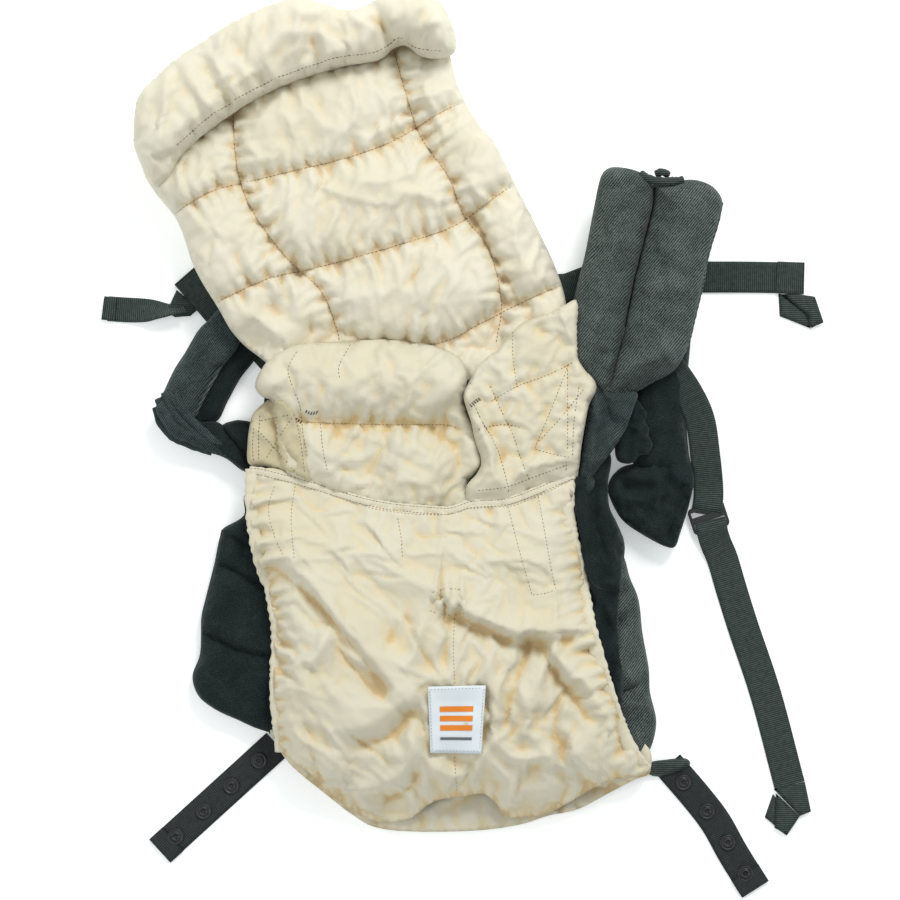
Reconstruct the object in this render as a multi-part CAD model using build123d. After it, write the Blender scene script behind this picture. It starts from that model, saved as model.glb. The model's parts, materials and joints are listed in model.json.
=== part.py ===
"""Soft baby carrier with its infant insert, laid flat on a table.

X is the wearer's left to right as the carrier lies, Y runs from the hood's hem to the head end
of the insert, Z is up from the table. The layout is drawn about the middle of the hood seam,
and every piece is moved at the end so that the origin is the middle of the carrier's footprint.
"""
from build123d import *
import math
import os

# Driving dimensions, mm
WEBBING_WIDTH = 25.0
WEBBING_THICK = 2.0
WAIST_WEBBING_WIDTH = 38.0
CHEST_WEBBING_WIDTH = 25.0
COVER_THICK = 1.5
BELT_HEIGHT = 22.0
PANEL_LOW = 22.3
PANEL_HIGH = 28.0
LINING_LOW = 28.2
LINING_HIGH = 31.0
INSERT_LOW = 31.3
PILLOW_LOW = 40.0
PILLOW_HIGH = 60.0
QUILT_HIGH = 56.0
ROLL_HIGH = 88.0
STRAP_BACK_LOW = 3.0
STRAP_BACK_HIGH = 29.0
STRAP_FRONT_LOW = 31.3
STRAP_FRONT_HIGH = 58.0
LEFT_ROOT_LOW = 3.0
LEFT_ROOT_HIGH = 20.0
LEFT_PAD_HIGH = 28.0
HOOD_HINGE_Y = -56.0
HOOD_TOP = 58.0
HOOD_LAYER = 2.0
HOOD_SPACE = 1.5
SNAP_PITCH = 30.0
SNAP_RADIUS = 6.2
SNAP_COUNT = 4
FIRST_SNAP = 14.0
SNAP_RING_THICK = 0.9
SNAP_BOSS_RADIUS = 3.6
SNAP_BOSS_HIGH = 2.2
SNAP_MOUTH_RADIUS = 1.9
SNAP_MOUTH_LOW = 0.8
PIECE_GAP = 1.0
LAYER_GAP = 0.2
WAIST_WEBBING_LOW = 6.0
CHEST_WEBBING_LOW = 4.5
WAIST_BUCKLE_LENGTH = 44.0
WAIST_BUCKLE_THICK = 14.0
CHEST_BUCKLE_LENGTH = 34.0
CHEST_BUCKLE_THICK = 11.0
BUCKLE_WALL = 2.2
BUCKLE_BAR_GAP = 4.5
BUCKLE_LOOP_DEPTH = 9.0
BUCKLE_LOOP_THICK = 5.0
BAND_HIGH = 50.0
PATCH_HIGH = 44.0
FACING_LOW = 42.0
POCKET_HIGH = 34.0
ZIP_TAPE_THICK = 1.2
ELASTIC_WIDTH = 6.0
CROWN_ELASTIC_WIDTH = 8.0
ELASTIC_THICK = 1.2
LABEL_THICK = 0.8
SNAP_ROOT_HIGH = 5.0
TOP_LOOP_LOW = 42.0
ADJUSTER_WIDTH = 20.0
ADJUSTER_THICK = 1.8
LOCK_LENGTH = 30.0
LOCK_DEPTH = 22.0
LOCK_THICK = 5.0
LOCK_SLOT_DEPTH = 4.2
LEFT_OUTER_LOW = 12.0
LEFT_UNDER_HIGH = 15.0
BIG = 1000.0

# Height of the hood's underside, and of its crumpled upper face, down its length (y, z)
HOOD_UNDER = [(-40, 41), (-222, 41), (-256, 25), (-274, 4), (-330, 4)]
HOOD_UPPER = [(-40, HOOD_TOP), (-66, HOOD_TOP), (-120, 66), (-200, 66), (-256, 46), (-276, 26), (-330, 12)]


def smooth(points):
    """Face inside a smooth closed curve through the points."""
    return make_face(Spline(*points, periodic=True))


def straight(points):
    """Face inside a closed run of straight edges."""
    return make_face(Polyline(*points, close=True))


def sewn(points, radius=3.0):
    """Face with straight edges and lightly rounded corners, as a sewn-on patch has."""
    face = straight(points)
    return fillet(face.vertices(), radius)


def prism(face, low, high):
    """Upright solid on a face, between two heights."""
    return extrude(Pos(0, 0, low) * face, high - low)


def band(lower, upper):
    """Solid across the whole width between two height lines (y, z)."""
    side = Plane.YZ * straight(list(lower) + list(reversed(upper)))
    return extrude(side, BIG, both=True)


def draped(face, lower, upper):
    """The part of a band that lies inside a plan outline."""
    return prism(face, -BIG, BIG) & band(lower, upper)


def raised(line, rise):
    """A height line moved up."""
    return [(y, z + rise) for y, z in line]


def inset(points, gap):
    """Closed outline moved inwards, point by point."""
    following = points[1:] + points[:1]
    preceding = points[-1:] + points[:-1]
    area = sum(x1 * y2 - x2 * y1 for (x1, y1), (x2, y2) in zip(points, following))
    turn = math.copysign(1.0, area)
    moved = []
    for (x0, y0), (x, y), (x1, y1) in zip(preceding, points, following):
        length = math.hypot(x1 - x0, y1 - y0)
        moved.append((x - turn * gap * (y1 - y0) / length, y + turn * gap * (x1 - x0) / length))
    return moved


def edges_of_strip(points, width):
    """Both long edges of a strip of one width that runs along the points."""
    left, right = [], []
    for index, (x, y) in enumerate(points):
        x0, y0 = points[max(index - 1, 0)]
        x1, y1 = points[min(index + 1, len(points) - 1)]
        length = math.hypot(x1 - x0, y1 - y0)
        across = ((y0 - y1) / length * width / 2, (x1 - x0) / length * width / 2)
        left.append((x + across[0], y + across[1]))
        right.append((x - across[0], y - across[1]))
    return left, right


def strip(points, width):
    """Face of a flat strip of webbing along a smooth line."""
    left, right = edges_of_strip(points, width)
    if len(points) == 2:
        return straight(left + right[::-1])
    edges = Spline(*left) + Line(left[-1], right[-1]) + Spline(*right[::-1]) + Line(right[0], left[0])
    return make_face(edges)


def covered(points, low, high, skin=COVER_THICK):
    """Sewn cover and the padding that fills it."""
    core = prism(smooth(inset(points, skin)), low + skin, high - skin)
    return prism(smooth(points), low, high) - core, core


# ---------------------------------------------------------------- waist belt

def waist_belt():
    """Padded belt: its two ends show on both sides of the hood."""
    outline = [(-171, -41), (-191, -68), (-198, -96), (-208, -138), (-215, -184), (-208, -202),
               (-182, -218), (-144, -230), (-60, -240), (60, -246), (132, -252), (150, -243),
               (154, -222), (149, -182), (143, -138), (134, -106), (126, -82), (112, -60),
               (40, -52), (-60, -50), (-140, -44)]
    cover, foam = covered(outline, 0, BELT_HEIGHT)
    return {"waist_belt_cover": cover, "waist_belt_foam": foam}


def buckle(width, length, thick):
    """Side-release buckle, fastened. The shell is at -X and the plug comes in from +X."""
    wall = BUCKLE_WALL
    half = width / 2 + 5.0
    bar_gap = BUCKLE_BAR_GAP
    cavity = Pos(length * 0.1, 0, thick / 2) * Box(length * 0.8 + 0.4, 2 * (half - wall), thick - 2 * wall)
    shell = Pos(0, 0, thick / 2) * Box(length, 2 * half, thick)
    shell = fillet(shell.edges().filter_by(Axis.Z), 4.0)
    shell = fillet(shell.edges().group_by(Axis.Z)[-1], 1.6)
    window = Pos(length * 0.02, 0, thick / 2) * Box(length * 0.36, BIG, thick - 2 * wall - 0.2)
    shell -= cavity
    shell -= window
    bar_x = -length / 2 - 8.8
    loop = Pos(-length / 2 - 4.0, 0, thick / 2) * Box(BUCKLE_LOOP_DEPTH, 2 * half - 4, BUCKLE_LOOP_THICK)
    loop -= Pos(-length / 2 - 3.2, 0, thick / 2) * Box(bar_gap, width + 1, BIG)
    shell += loop

    base_x = length / 2 + 4.2
    base = Pos(base_x, 0, thick / 2) * Box(8.0, 2 * half - 2, thick - 1.0)
    base = fillet(base.edges().filter_by(Axis.Z), 2.5)
    tongue = Pos(length * 0.16 + 0.5, 0, thick / 2) * Box(length * 0.68 + 1.2, 6.0, thick - 2 * wall - 1.0)
    plug_loop = Pos(base_x + 7.8, 0, thick / 2) * Box(BUCKLE_LOOP_DEPTH, 2 * half - 4, BUCKLE_LOOP_THICK)
    plug_loop -= Pos(base_x + 7.6, 0, thick / 2) * Box(bar_gap, width + 1, BIG)
    plug = base + tongue + plug_loop

    root = length / 2 - 0.4
    arm_y = half * 0.52
    arm = [(root, arm_y - 2.0), (root, arm_y + 2.0), (length * 0.19, half - 3.6), (length * 0.19, half - 0.6),
           (-length * 0.05, half - 0.6), (-length * 0.15, half - 4.0), (-length * 0.15, half - 6.8),
           (length * 0.15, half - 7.0)]
    height = thick - 2 * wall - 1.0
    prong = prism(straight(arm), thick / 2 - height / 2, thick / 2 + height / 2)
    other = mirror(prong, Plane.XZ)
    return {"shell": shell, "plug": plug, "prong_back": prong, "prong_front": other}, bar_x


def waist_fastening():
    """Waist webbing tucked under the body, with its buckle."""
    place = Pos(-25, 6, 0)
    pieces, bar_x = buckle(WAIST_WEBBING_WIDTH, WAIST_BUCKLE_LENGTH, WAIST_BUCKLE_THICK)
    made = {f"waist_buckle_{name}": place * piece for name, piece in pieces.items()}
    low = WAIST_WEBBING_LOW
    left_end = -25 + bar_x
    left = strip([(-146, -12), (-112, 4), (-80, 6), (left_end, 6)], WAIST_WEBBING_WIDTH)
    right = strip([(17, 6), (60, 2), (98, -10)], WAIST_WEBBING_WIDTH)
    made["waist_webbing_left"] = prism(left, low, low + WEBBING_THICK)
    made["waist_webbing_right"] = prism(right, low, low + WEBBING_THICK)
    return made


# ---------------------------------------------------------------- body

def body_panel():
    """Canvas back panel of the carrier and the cotton lining sewn to it."""
    panel = [(-146, 62), (-158, 20), (-162, -30), (-150, -70), (-142, -150), (-142, -222), (-60, -232),
             (60, -238), (128, -242), (140, -200), (132, -140), (120, -92), (111, -60), (112, -20),
             (92, 20), (84, 96), (40, 72), (-60, 68)]
    lining = [(-146, 58), (-157, 20), (-163, -14), (-158, -50), (-60, -53), (40, -53), (84, -50),
              (85, -18), (85, 40), (82, 92), (40, 68), (-60, 64)]
    return {
        "body_panel_cover": prism(smooth(panel), PANEL_LOW, PANEL_HIGH),
        "body_lining": prism(smooth(lining), LINING_LOW, LINING_HIGH),
    }


PILLOW = [(-160, 55), (-151, 68), (-130, 80), (-97, 80), (-60, 82), (-21, 76), (-4, 66), (-1, 42),
          (-6, 22), (-60, 18), (-118, 21), (-146, 36)]
FLAP = [(3, 40), (14, 64), (29, 76), (49, 97), (68, 103), (86, 107), (86, 64), (100, 46), (97, 29),
        (92, 0), (87, -26), (58, -35), (35, -41), (9, -44), (5, -30), (13, -15), (9, 10), (5, 27)]


def body_front():
    """Camel pieces across the top of the body: padded roll, flat band and sewn corners."""
    cover, foam = covered(PILLOW, PILLOW_LOW, PILLOW_HIGH)
    lower = [(-95, 13), (-50, 13), (-1, 11), (3, 6), (8, -14), (1, -28), (1, -40), (-21, -43),
             (-60, -40), (-95, -32)]
    patch = [(-166, 15), (-158, 27), (-148, 30), (-128, 14), (-98, 13), (-98, -31), (-122, -24),
             (-150, -13), (-164, -12)]
    facing = [(-165, -16), (-150, -17), (-119, -29), (-80, -42), (-40, -47), (-12, -49), (8, -47),
              (35, -44), (58, -38), (84, -30), (84, -55), (-165, -55)]
    return {
        "head_roll_cover": cover,
        "head_roll_foam": foam,
        "front_band": prism(sewn(lower, 1.5), LINING_HIGH + LAYER_GAP, BAND_HIGH),
        "left_corner_patch": prism(sewn(patch), LINING_HIGH + LAYER_GAP, PATCH_HIGH),
        "right_corner_flap": prism(sewn(FLAP, 1.5), PILLOW_LOW + LAYER_GAP, BAND_HIGH),
        "hood_facing_band": prism(straight(facing), FACING_LOW, HOOD_TOP),
    }


def hood_pocket():
    """Zipped pocket on the body that the hood packs into."""
    outline = [(-118, -78), (68, -78), (76, -150), (68, -216), (-110, -216), (-120, -150)]
    tape_top = POCKET_HIGH + ZIP_TAPE_THICK
    tape = straight([(-102, -93), (60, -93), (60, -81), (-102, -81)])
    slider = Pos(-94, -87, tape_top + 2.0) * Box(9, 10, 3.6)
    slider = fillet(slider.edges().filter_by(Axis.Z), 2.0)
    tab = Pos(-80, -87, tape_top + 3.2) * Box(22, 6, 1.2)
    tab -= Pos(-72, -87, tape_top) * Cylinder(1.6, 20)
    return {
        "pocket_bag": prism(straight(outline), PANEL_HIGH + LAYER_GAP, POCKET_HIGH),
        "pocket_zip_tape": prism(tape, POCKET_HIGH, tape_top),
        "pocket_zip_slider": slider + tab,
    }


# ---------------------------------------------------------------- hood

HOOD = [(-165, HOOD_HINGE_Y - 1), (-40, HOOD_HINGE_Y - 1), (84, HOOD_HINGE_Y - 1), (90, -86), (97, -122),
        (103, -150), (113, -184), (127, -222), (146, -257), (115, -279), (69, -295), (13, -306),
        (-35, -308), (-67, -305), (-85, -297), (-112, -276), (-143, -246), (-149, -215), (-149, -175),
        (-153, -120), (-162, -88)]


def hood():
    """Sleeping hood folded down over the front, with elastic in both gathered sides."""
    lining = draped(straight(inset(HOOD, 2)), HOOD_UNDER, raised(HOOD_UNDER, HOOD_LAYER))
    core_low = raised(HOOD_UNDER, HOOD_LAYER)
    core_high = raised(HOOD_UNDER, HOOD_LAYER + ELASTIC_THICK)
    outer_low = raised(HOOD_UNDER, HOOD_LAYER + HOOD_SPACE)
    left = strip([(-156, -66), (-151, -88), (-144, -122), (-140, -175), (-139, -236)], ELASTIC_WIDTH)
    right = strip([(76, -64), (82, -90), (90, -130), (100, -172), (114, -214), (132, -250)], ELASTIC_WIDTH)
    crown = strip([(-26, -124), (4, -124)], CROWN_ELASTIC_WIDTH)
    label = straight([(-27, -190), (18, -190), (15, -243), (-25, -243)])
    return {
        "hood_outer": draped(straight(HOOD), outer_low, HOOD_UPPER),
        "hood_lining": lining,
        "hood_left_elastic": draped(left, core_low, core_high),
        "hood_right_elastic": draped(right, core_low, core_high),
        "hood_crown_elastic": draped(crown, core_low, core_high),
        "hood_label": draped(label, HOOD_UPPER, raised(HOOD_UPPER, LABEL_THICK)),
    }


def snap_socket():
    """Pressed snap: a flat ring around a raised socket."""
    seat = (Align.CENTER, Align.CENTER, Align.MIN)
    ring = Cylinder(SNAP_RADIUS, SNAP_RING_THICK, align=seat)
    boss = Cylinder(SNAP_BOSS_RADIUS, SNAP_BOSS_HIGH, align=seat)
    mouth = Pos(0, 0, SNAP_MOUTH_LOW) * Cylinder(SNAP_MOUTH_RADIUS, SNAP_BOSS_HIGH, align=seat)
    return ring + boss - mouth


def snaps_along(points):
    """Row of snaps, one pitch apart, on top of a strap."""
    line = Spline(*points) if len(points) > 2 else Line(*points)
    places = [FIRST_SNAP + SNAP_PITCH * index for index in range(SNAP_COUNT)]
    centres = [line @ (place / line.length) for place in places]
    return Compound([Pos(centre.X, centre.Y, WEBBING_THICK) * snap_socket() for centre in centres])


def snap_straps():
    """Webbing straps that snap the raised hood to the shoulder straps."""
    left = [(-152, -243), (-241.5, -324.5)]
    right = [(168, -259), (187, -281), (203, -302), (217, -327), (234.5, -355)]
    root = [(150, -261), (165, -259.5), (176, -250.5), (160, -246), (151, -248)]
    return {
        "left_snap_strap": prism(strip(left, WEBBING_WIDTH), 0, WEBBING_THICK),
        "left_strap_snaps": snaps_along(left),
        "right_snap_strap": prism(strip(right, WEBBING_WIDTH), 0, WEBBING_THICK),
        "right_strap_snaps": snaps_along(right),
        "right_snap_strap_root": prism(straight(root), WEBBING_THICK, SNAP_ROOT_HIGH),
    }


# ---------------------------------------------------------------- right shoulder strap

def right_strap_shapes(gap):
    """Front layer, back layer and top fold of the padded strap, all drawn in by a gap."""
    front = [(112, 214), (123, 219), (142, 215), (182, 209), (198, 203), (205, 188), (201, 174),
             (192, 131), (182, 92), (171, 62), (155, 52), (140, 38), (133, 22), (117, -5), (104, -20),
             (95, -21), (95, 0), (100, 29), (105, 47), (91, 64), (89, 95), (93, 127), (98, 149), (103, 181),
             (107, 203)]
    back = [(124, 212), (188, 202), (196, 180), (190, 140), (182, 100), (179, 63), (175, 22),
            (174, -16), (175, -38), (168, -74), (160, -79), (132, -61), (121, -46), (120, -30),
            (129, -14), (134, 10), (136, 60), (128, 130), (120, 190)]
    fold = [(113, 212), (123, 217), (142, 213), (182, 207), (194, 200), (190, 192), (150, 196), (118, 196)]
    return [(inset(front, gap), STRAP_FRONT_LOW + gap, STRAP_FRONT_HIGH - gap),
            (inset(back, gap), STRAP_BACK_LOW + gap, STRAP_BACK_HIGH - gap),
            (inset(fold, gap), STRAP_BACK_LOW + gap, STRAP_FRONT_HIGH - gap)]


def union_of(shapes):
    """One solid from outlines with their heights."""
    solids = [prism(smooth(points), low, high) for points, low, high in shapes]
    return solids[0].fuse(*solids[1:]).clean()


def right_shoulder_strap():
    """Padded strap folded back on itself, its adjuster and its chest webbing."""
    core = union_of(right_strap_shapes(COVER_THICK))
    cover = union_of(right_strap_shapes(0)) - core
    loop = straight([(143, 215.5), (170, 212), (171, 217), (144, 219.5)])
    adjuster_low = [(-80, 3.2), (-44, 3.2), (0, 16), (30, 29.2), (60, 29.2)]
    adjuster = strip([(174.5, 46), (186, 32), (191.5, 14), (193.5, -12), (193.8, -43)], ADJUSTER_WIDTH)
    chest_y = 134.0
    chest = straight([(100, chest_y - 12), (272, chest_y - 13), (272, chest_y + 12), (100, chest_y + 12)])
    twist = [(254, 119), (255, 104), (279, 93), (289, 99), (281, 119)]
    return {
        "right_strap_cover": cover,
        "right_strap_foam": core,
        "right_strap_top_loop": prism(loop, TOP_LOOP_LOW, TOP_LOOP_LOW + WEBBING_THICK),
        "right_adjuster_webbing": draped(adjuster, adjuster_low, raised(adjuster_low, ADJUSTER_THICK)),
        "right_chest_webbing": prism(chest, 0, WEBBING_THICK),
        "right_chest_fold": prism(straight(twist), 0, 2 * WEBBING_THICK),
    }


LOCK_PLACE = Pos(197, -58, 0) * Rot(0, 0, 18)


def ladder_lock():
    """Ladder-lock adjuster: a rounded frame with two webbing slots and a stepped bar."""
    frame = Pos(0, 0, WEBBING_THICK + LOCK_THICK / 2) * Box(LOCK_LENGTH, LOCK_DEPTH, LOCK_THICK)
    frame = fillet(frame.edges().filter_by(Axis.Z), 4)
    frame = fillet(frame.edges().group_by(Axis.Z)[-1], 1.2)
    slot = Box(WEBBING_WIDTH + 0.5, LOCK_SLOT_DEPTH, BIG)
    frame -= Pos(0, 5.2, 0) * slot
    frame -= Pos(0, -4.2, 0) * slot
    rib = Pos(0, -8.6, 7.2) * Box(22, 1.4, 1.0)
    return {"right_ladder_lock": LOCK_PLACE * (frame + rib)}


def right_tail():
    """Loose end of the shoulder webbing, with its hem turned over."""
    line = [(201, -70.5), (205.5, -84), (212, -106), (223, -142), (243, -200), (262, -272)]
    hem = [(250, -274), (273, -269), (279, -292), (270, -296), (259, -311), (243, -299)]
    return {
        "right_tail_webbing": prism(strip(line, WEBBING_WIDTH), 0, WEBBING_THICK),
        "right_tail_hem": prism(straight(hem), WEBBING_THICK, 2 * WEBBING_THICK),
    }


# ---------------------------------------------------------------- left shoulder strap

def left_shapes(gap):
    """The looped left strap: its outer run, the turn to the body and the run beneath."""
    outer = [(-188, 112), (-201, 100), (-220, 75), (-237, 44), (-243, 24), (-236, 9), (-222, 12),
             (-214, 24), (-207, 37), (-193, 61), (-178, 80), (-172, 96)]
    turn = [(-239, 26), (-241, 18), (-232, 5), (-217, 1), (-199, -5), (-183, -13), (-172, -19),
            (-168, -8), (-168, 12), (-175, 18), (-191, 17), (-214, 22), (-226, 30)]
    under = [(-205, 92), (-226, 60), (-236, 36), (-226, 16), (-200, 14), (-190, 28), (-178, 53), (-164, 68),
             (-160, 84), (-175, 98)]
    return [(inset(outer, gap), LEFT_OUTER_LOW + gap, LEFT_PAD_HIGH - gap),
            (inset(turn, gap), LEFT_ROOT_LOW + gap, LEFT_ROOT_HIGH - gap),
            (inset(under, gap), LEFT_ROOT_LOW + gap, LEFT_UNDER_HIGH - gap)]


def left_shoulder_strap():
    """Padded strap looped beside the body, partly under the insert."""
    core = union_of(left_shapes(COVER_THICK))
    cover = union_of(left_shapes(0)) - core
    ribbed = straight([(-229, 127), (-214, 142), (-186, 112), (-200, 98.5)])
    return {
        "left_strap_cover": cover,
        "left_strap_foam": core,
        "left_ribbed_webbing": prism(ribbed, LEFT_ROOT_LOW, LEFT_ROOT_LOW + WEBBING_THICK),
    }


def left_tail():
    """Loose end of the left webbing, twisted once near the strap."""
    tail = [(-285, 101), (-273, 98), (-249, 99), (-235, 103), (-219, 104), (-215, 108), (-219.5, 111.5),
            (-229, 113), (-235, 110), (-249, 116), (-273, 118), (-280, 119), (-287, 104)]
    hem = [(-285.5, 101.5), (-273, 98.5), (-273, 117.5), (-280, 118.5)]
    return {
        "left_tail_webbing": prism(straight(tail), 0, WEBBING_THICK),
        "left_tail_hem": prism(straight(hem), WEBBING_THICK, 2 * WEBBING_THICK),
    }


# ---------------------------------------------------------------- chest strap

def chest_fastening():
    """Buckle of the chest strap, lying under the insert."""
    place = Pos(-60, 122, 0)
    pieces, bar_x = buckle(CHEST_WEBBING_WIDTH, CHEST_BUCKLE_LENGTH, CHEST_BUCKLE_THICK)
    made = {f"chest_buckle_{name}": place * piece for name, piece in pieces.items()}
    low = CHEST_WEBBING_LOW
    left = strip([(-150, 112), (-122, 121), (-100, 122), (-60 + bar_x, 122)], CHEST_WEBBING_WIDTH)
    right = strip([(-25.5, 122), (30, 122), (92, 125)], CHEST_WEBBING_WIDTH)
    made["chest_webbing_left"] = prism(left, low, low + WEBBING_THICK)
    made["chest_webbing_right"] = prism(right, low, low + WEBBING_THICK)
    return made


# ---------------------------------------------------------------- infant insert

QUILT = [(-257, 240), (-256, 272), (-243, 288), (-221, 307), (-171, 338), (-132, 352), (-112, 348),
         (-87, 343), (-60, 355), (-45, 357), (-30, 355), (-13, 345), (-6, 325), (-3, 285), (14, 254),
         (26, 240), (45, 202), (60, 172), (75, 138), (79, 108), (72, 66), (30, 44), (-60, 42), (-140, 48),
         (-164, 72), (-181, 88), (-193, 108), (-212, 140), (-226, 177), (-245, 202), (-254, 220)]


def infant_insert():
    """Quilted cushion in the carrier, its head end rolled back over itself."""
    lower = [(0, INSERT_LOW), (112, INSERT_LOW), (150, 18), (176, 0), (420, 0)]
    upper = [(0, PILLOW_LOW - 0.5), (85, PILLOW_LOW - 0.5), (100, 52), (130, QUILT_HIGH), (420, QUILT_HIGH)]
    keep_out = prism(straight(inset(FLAP, -PIECE_GAP)), PILLOW_LOW - 0.5, BIG)
    quilt = draped(smooth(QUILT), lower, upper) - keep_out
    core_high = raised(upper, -COVER_THICK)
    core = draped(smooth(inset(QUILT, COVER_THICK)), raised(lower, COVER_THICK), core_high)
    core -= prism(straight(inset(FLAP, -PIECE_GAP - COVER_THICK)), PILLOW_LOW - 0.5 - COVER_THICK, BIG)
    roll = [(-257, 250), (-256, 272), (-243, 288), (-221, 306), (-171, 337), (-132, 351), (-112, 347),
            (-87, 342), (-60, 354), (-45, 356), (-30, 354), (-13, 344), (-7, 325), (-12, 308), (-33, 309),
            (-48, 317), (-64, 308), (-100, 300), (-142, 286), (-171, 271), (-200, 251), (-222, 232),
            (-236, 218), (-252, 224)]
    roll_cover, roll_core = covered(roll, QUILT_HIGH, ROLL_HIGH)
    return {
        "insert_quilt_cover": quilt - core,
        "insert_quilt_wadding": core,
        "insert_head_roll_cover": roll_cover,
        "insert_head_roll_wadding": roll_core,
    }


# ---------------------------------------------------------------- assembly

def carrier():
    """Every piece by name, in layout coordinates."""
    pieces = {}
    for make in (waist_belt, waist_fastening, body_panel, body_front, hood_pocket, hood, snap_straps,
                 right_shoulder_strap, ladder_lock, right_tail, left_shoulder_strap, left_tail,
                 chest_fastening, infant_insert):
        pieces.update(make())
    return pieces


pieces = carrier()
boxes = [piece.bounding_box() for piece in pieces.values()]
low_x = min(box.min.X for box in boxes)
high_x = max(box.max.X for box in boxes)
low_y = min(box.min.Y for box in boxes)
high_y = max(box.max.Y for box in boxes)
low_z = min(box.min.Z for box in boxes)
to_origin = Pos(-(low_x + high_x) / 2, -(low_y + high_y) / 2, -low_z)
print("layout to origin", to_origin.position)
os.makedirs("parts", exist_ok=True)
for name, piece in pieces.items():
    export_step(to_origin * piece, f"parts/{name}.step")
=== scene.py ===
"""Looks of the soft baby carrier: fabric, stitching, webbing, light and camera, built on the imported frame."""
import json
import math
import random

import bpy
import numpy as np
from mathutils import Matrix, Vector, noise
from mathutils.bvhtree import BVHTree
from mathutils.geometry import delaunay_2d_cdt


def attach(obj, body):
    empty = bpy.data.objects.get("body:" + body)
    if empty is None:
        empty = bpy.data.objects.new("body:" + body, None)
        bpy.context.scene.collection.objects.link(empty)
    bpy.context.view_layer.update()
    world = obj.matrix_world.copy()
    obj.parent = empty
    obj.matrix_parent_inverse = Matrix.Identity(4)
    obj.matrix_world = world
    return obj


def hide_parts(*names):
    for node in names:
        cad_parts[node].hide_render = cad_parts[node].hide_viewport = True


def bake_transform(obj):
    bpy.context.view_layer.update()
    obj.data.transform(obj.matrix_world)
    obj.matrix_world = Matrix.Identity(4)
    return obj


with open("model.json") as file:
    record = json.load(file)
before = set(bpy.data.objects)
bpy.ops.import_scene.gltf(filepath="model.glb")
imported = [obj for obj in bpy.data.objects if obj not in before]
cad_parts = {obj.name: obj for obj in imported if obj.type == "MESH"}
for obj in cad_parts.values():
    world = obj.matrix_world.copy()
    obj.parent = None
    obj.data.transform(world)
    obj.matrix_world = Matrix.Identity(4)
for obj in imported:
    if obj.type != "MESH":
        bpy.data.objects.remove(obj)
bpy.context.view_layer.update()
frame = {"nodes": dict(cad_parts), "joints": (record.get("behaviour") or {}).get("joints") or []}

# Layout coordinates are millimetres about the middle of the hood seam, as the pattern is drawn.
# The hood's hinge ties them to the row frame.
HINGE_AT = (-40.0, -56.0, 58.0)
hinge = next(joint for joint in frame["joints"] if joint["name"] == "hood_fold")["pos_m"]
SHIFT = np.array([hinge[0] - HINGE_AT[0] / 1000, hinge[1] - HINGE_AT[1] / 1000, 0.0])
# In millimetres: the cloth mesh step, thicknesses, the webbing width and a height above every piece.
CLOTH_STEP = 4.0
CLOTH_THICKNESS = 1.2
LABEL_THICKNESS = 0.7
WEBBING = 25.0
FOLDED_THICKNESS = 1.9
ABOVE = 400.0
DOWN = Vector((0, 0, -1))


def metres(points):
    """Layout millimetres to row metres."""
    return np.asarray(points, float) / 1000 + SHIFT


def place(x, y, z=0.0):
    """One layout point in row metres, as a plain tuple."""
    return tuple(metres([x, y, z]))


# ---------------------------------------------------------------- curves and fields

def smooth_line(points, step=3.0, closed=False):
    """Catmull-Rom line through the points, sampled about every step."""
    p = np.asarray(points, float)
    if closed:
        p = np.vstack([p[-1], p, p[0], p[1]])
    else:
        p = np.vstack([2 * p[0] - p[1], p, 2 * p[-1] - p[-2]])
    out = []
    for a, b, c, d in zip(p[:-3], p[1:-2], p[2:-1], p[3:]):
        count = max(1, int(round(np.linalg.norm(c[:2] - b[:2]) / step)))
        for t in np.arange(count) / count:
            out.append(0.5 * (2 * b + (c - a) * t + (2 * a - 5 * b + 4 * c - d) * t ** 2
                              + (3 * b - a - 3 * c + d) * t ** 3))
    if not closed:
        out.append(p[-2])
    return np.array(out)


def to_line(xy, line, closed=False):
    """For each point: distance to a line, length along it to the nearest spot, and which side (+1 left)."""
    line = np.asarray(line, float)[:, :2]
    if closed:
        line = np.vstack([line, line[0]])
    best = np.full(len(xy), 1e9)
    along = np.zeros(len(xy))
    side = np.ones(len(xy))
    start = 0.0
    for a, b in zip(line[:-1], line[1:]):
        ab = b - a
        length = np.linalg.norm(ab)
        if length < 1e-9:
            continue
        t = np.clip((xy - a) @ ab / length ** 2, 0, 1)
        off = xy - (a + t[:, None] * ab)
        d = np.linalg.norm(off, axis=1)
        near = d < best
        best[near] = d[near]
        along[near] = start + t[near] * length
        side[near] = np.sign(ab[0] * off[near, 1] - ab[1] * off[near, 0])
        start += length
    return best, along, side


def inside(xy, loop):
    """Which points lie inside a closed loop."""
    x, y = xy[:, 0], xy[:, 1]
    hit = np.zeros(len(xy), bool)
    for (x1, y1), (x2, y2) in zip(loop, np.roll(loop, -1, axis=0)):
        crosses = (y1 > y) != (y2 > y)
        with np.errstate(divide="ignore", invalid="ignore"):
            hit ^= crosses & (x < (x2 - x1) * (y - y1) / (y2 - y1) + x1)
    return hit


def speckle(xy, size, seed=0.0):
    """Smooth noise, about -1 to 1, with features of a size in mm."""
    return np.array([noise.noise((x / size, y / size, seed)) for x, y in xy])


def crinkle(xy, angle, long, short, seed=0.0):
    """Sharp-crested wrinkles that run along an angle in degrees, 0 to 1."""
    c, s = math.cos(math.radians(angle)), math.sin(math.radians(angle))
    turned = np.column_stack([(xy[:, 0] * c + xy[:, 1] * s) / long, (-xy[:, 0] * s + xy[:, 1] * c) / short])
    return 1 - np.abs(np.array([noise.noise((u, v, seed)) for u, v in turned])) * 2


def folds(xy, lines):
    """Relief of listed folds. Each is (points, height, width on its left, width on its right)."""
    z = np.zeros(len(xy))
    for points, height, left, right in lines:
        d, _, side = to_line(xy, smooth_line(points, 5))
        width = np.where(side > 0, left, right)
        z += height * np.exp(-(d / width) ** 1.35)
    return z


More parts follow.
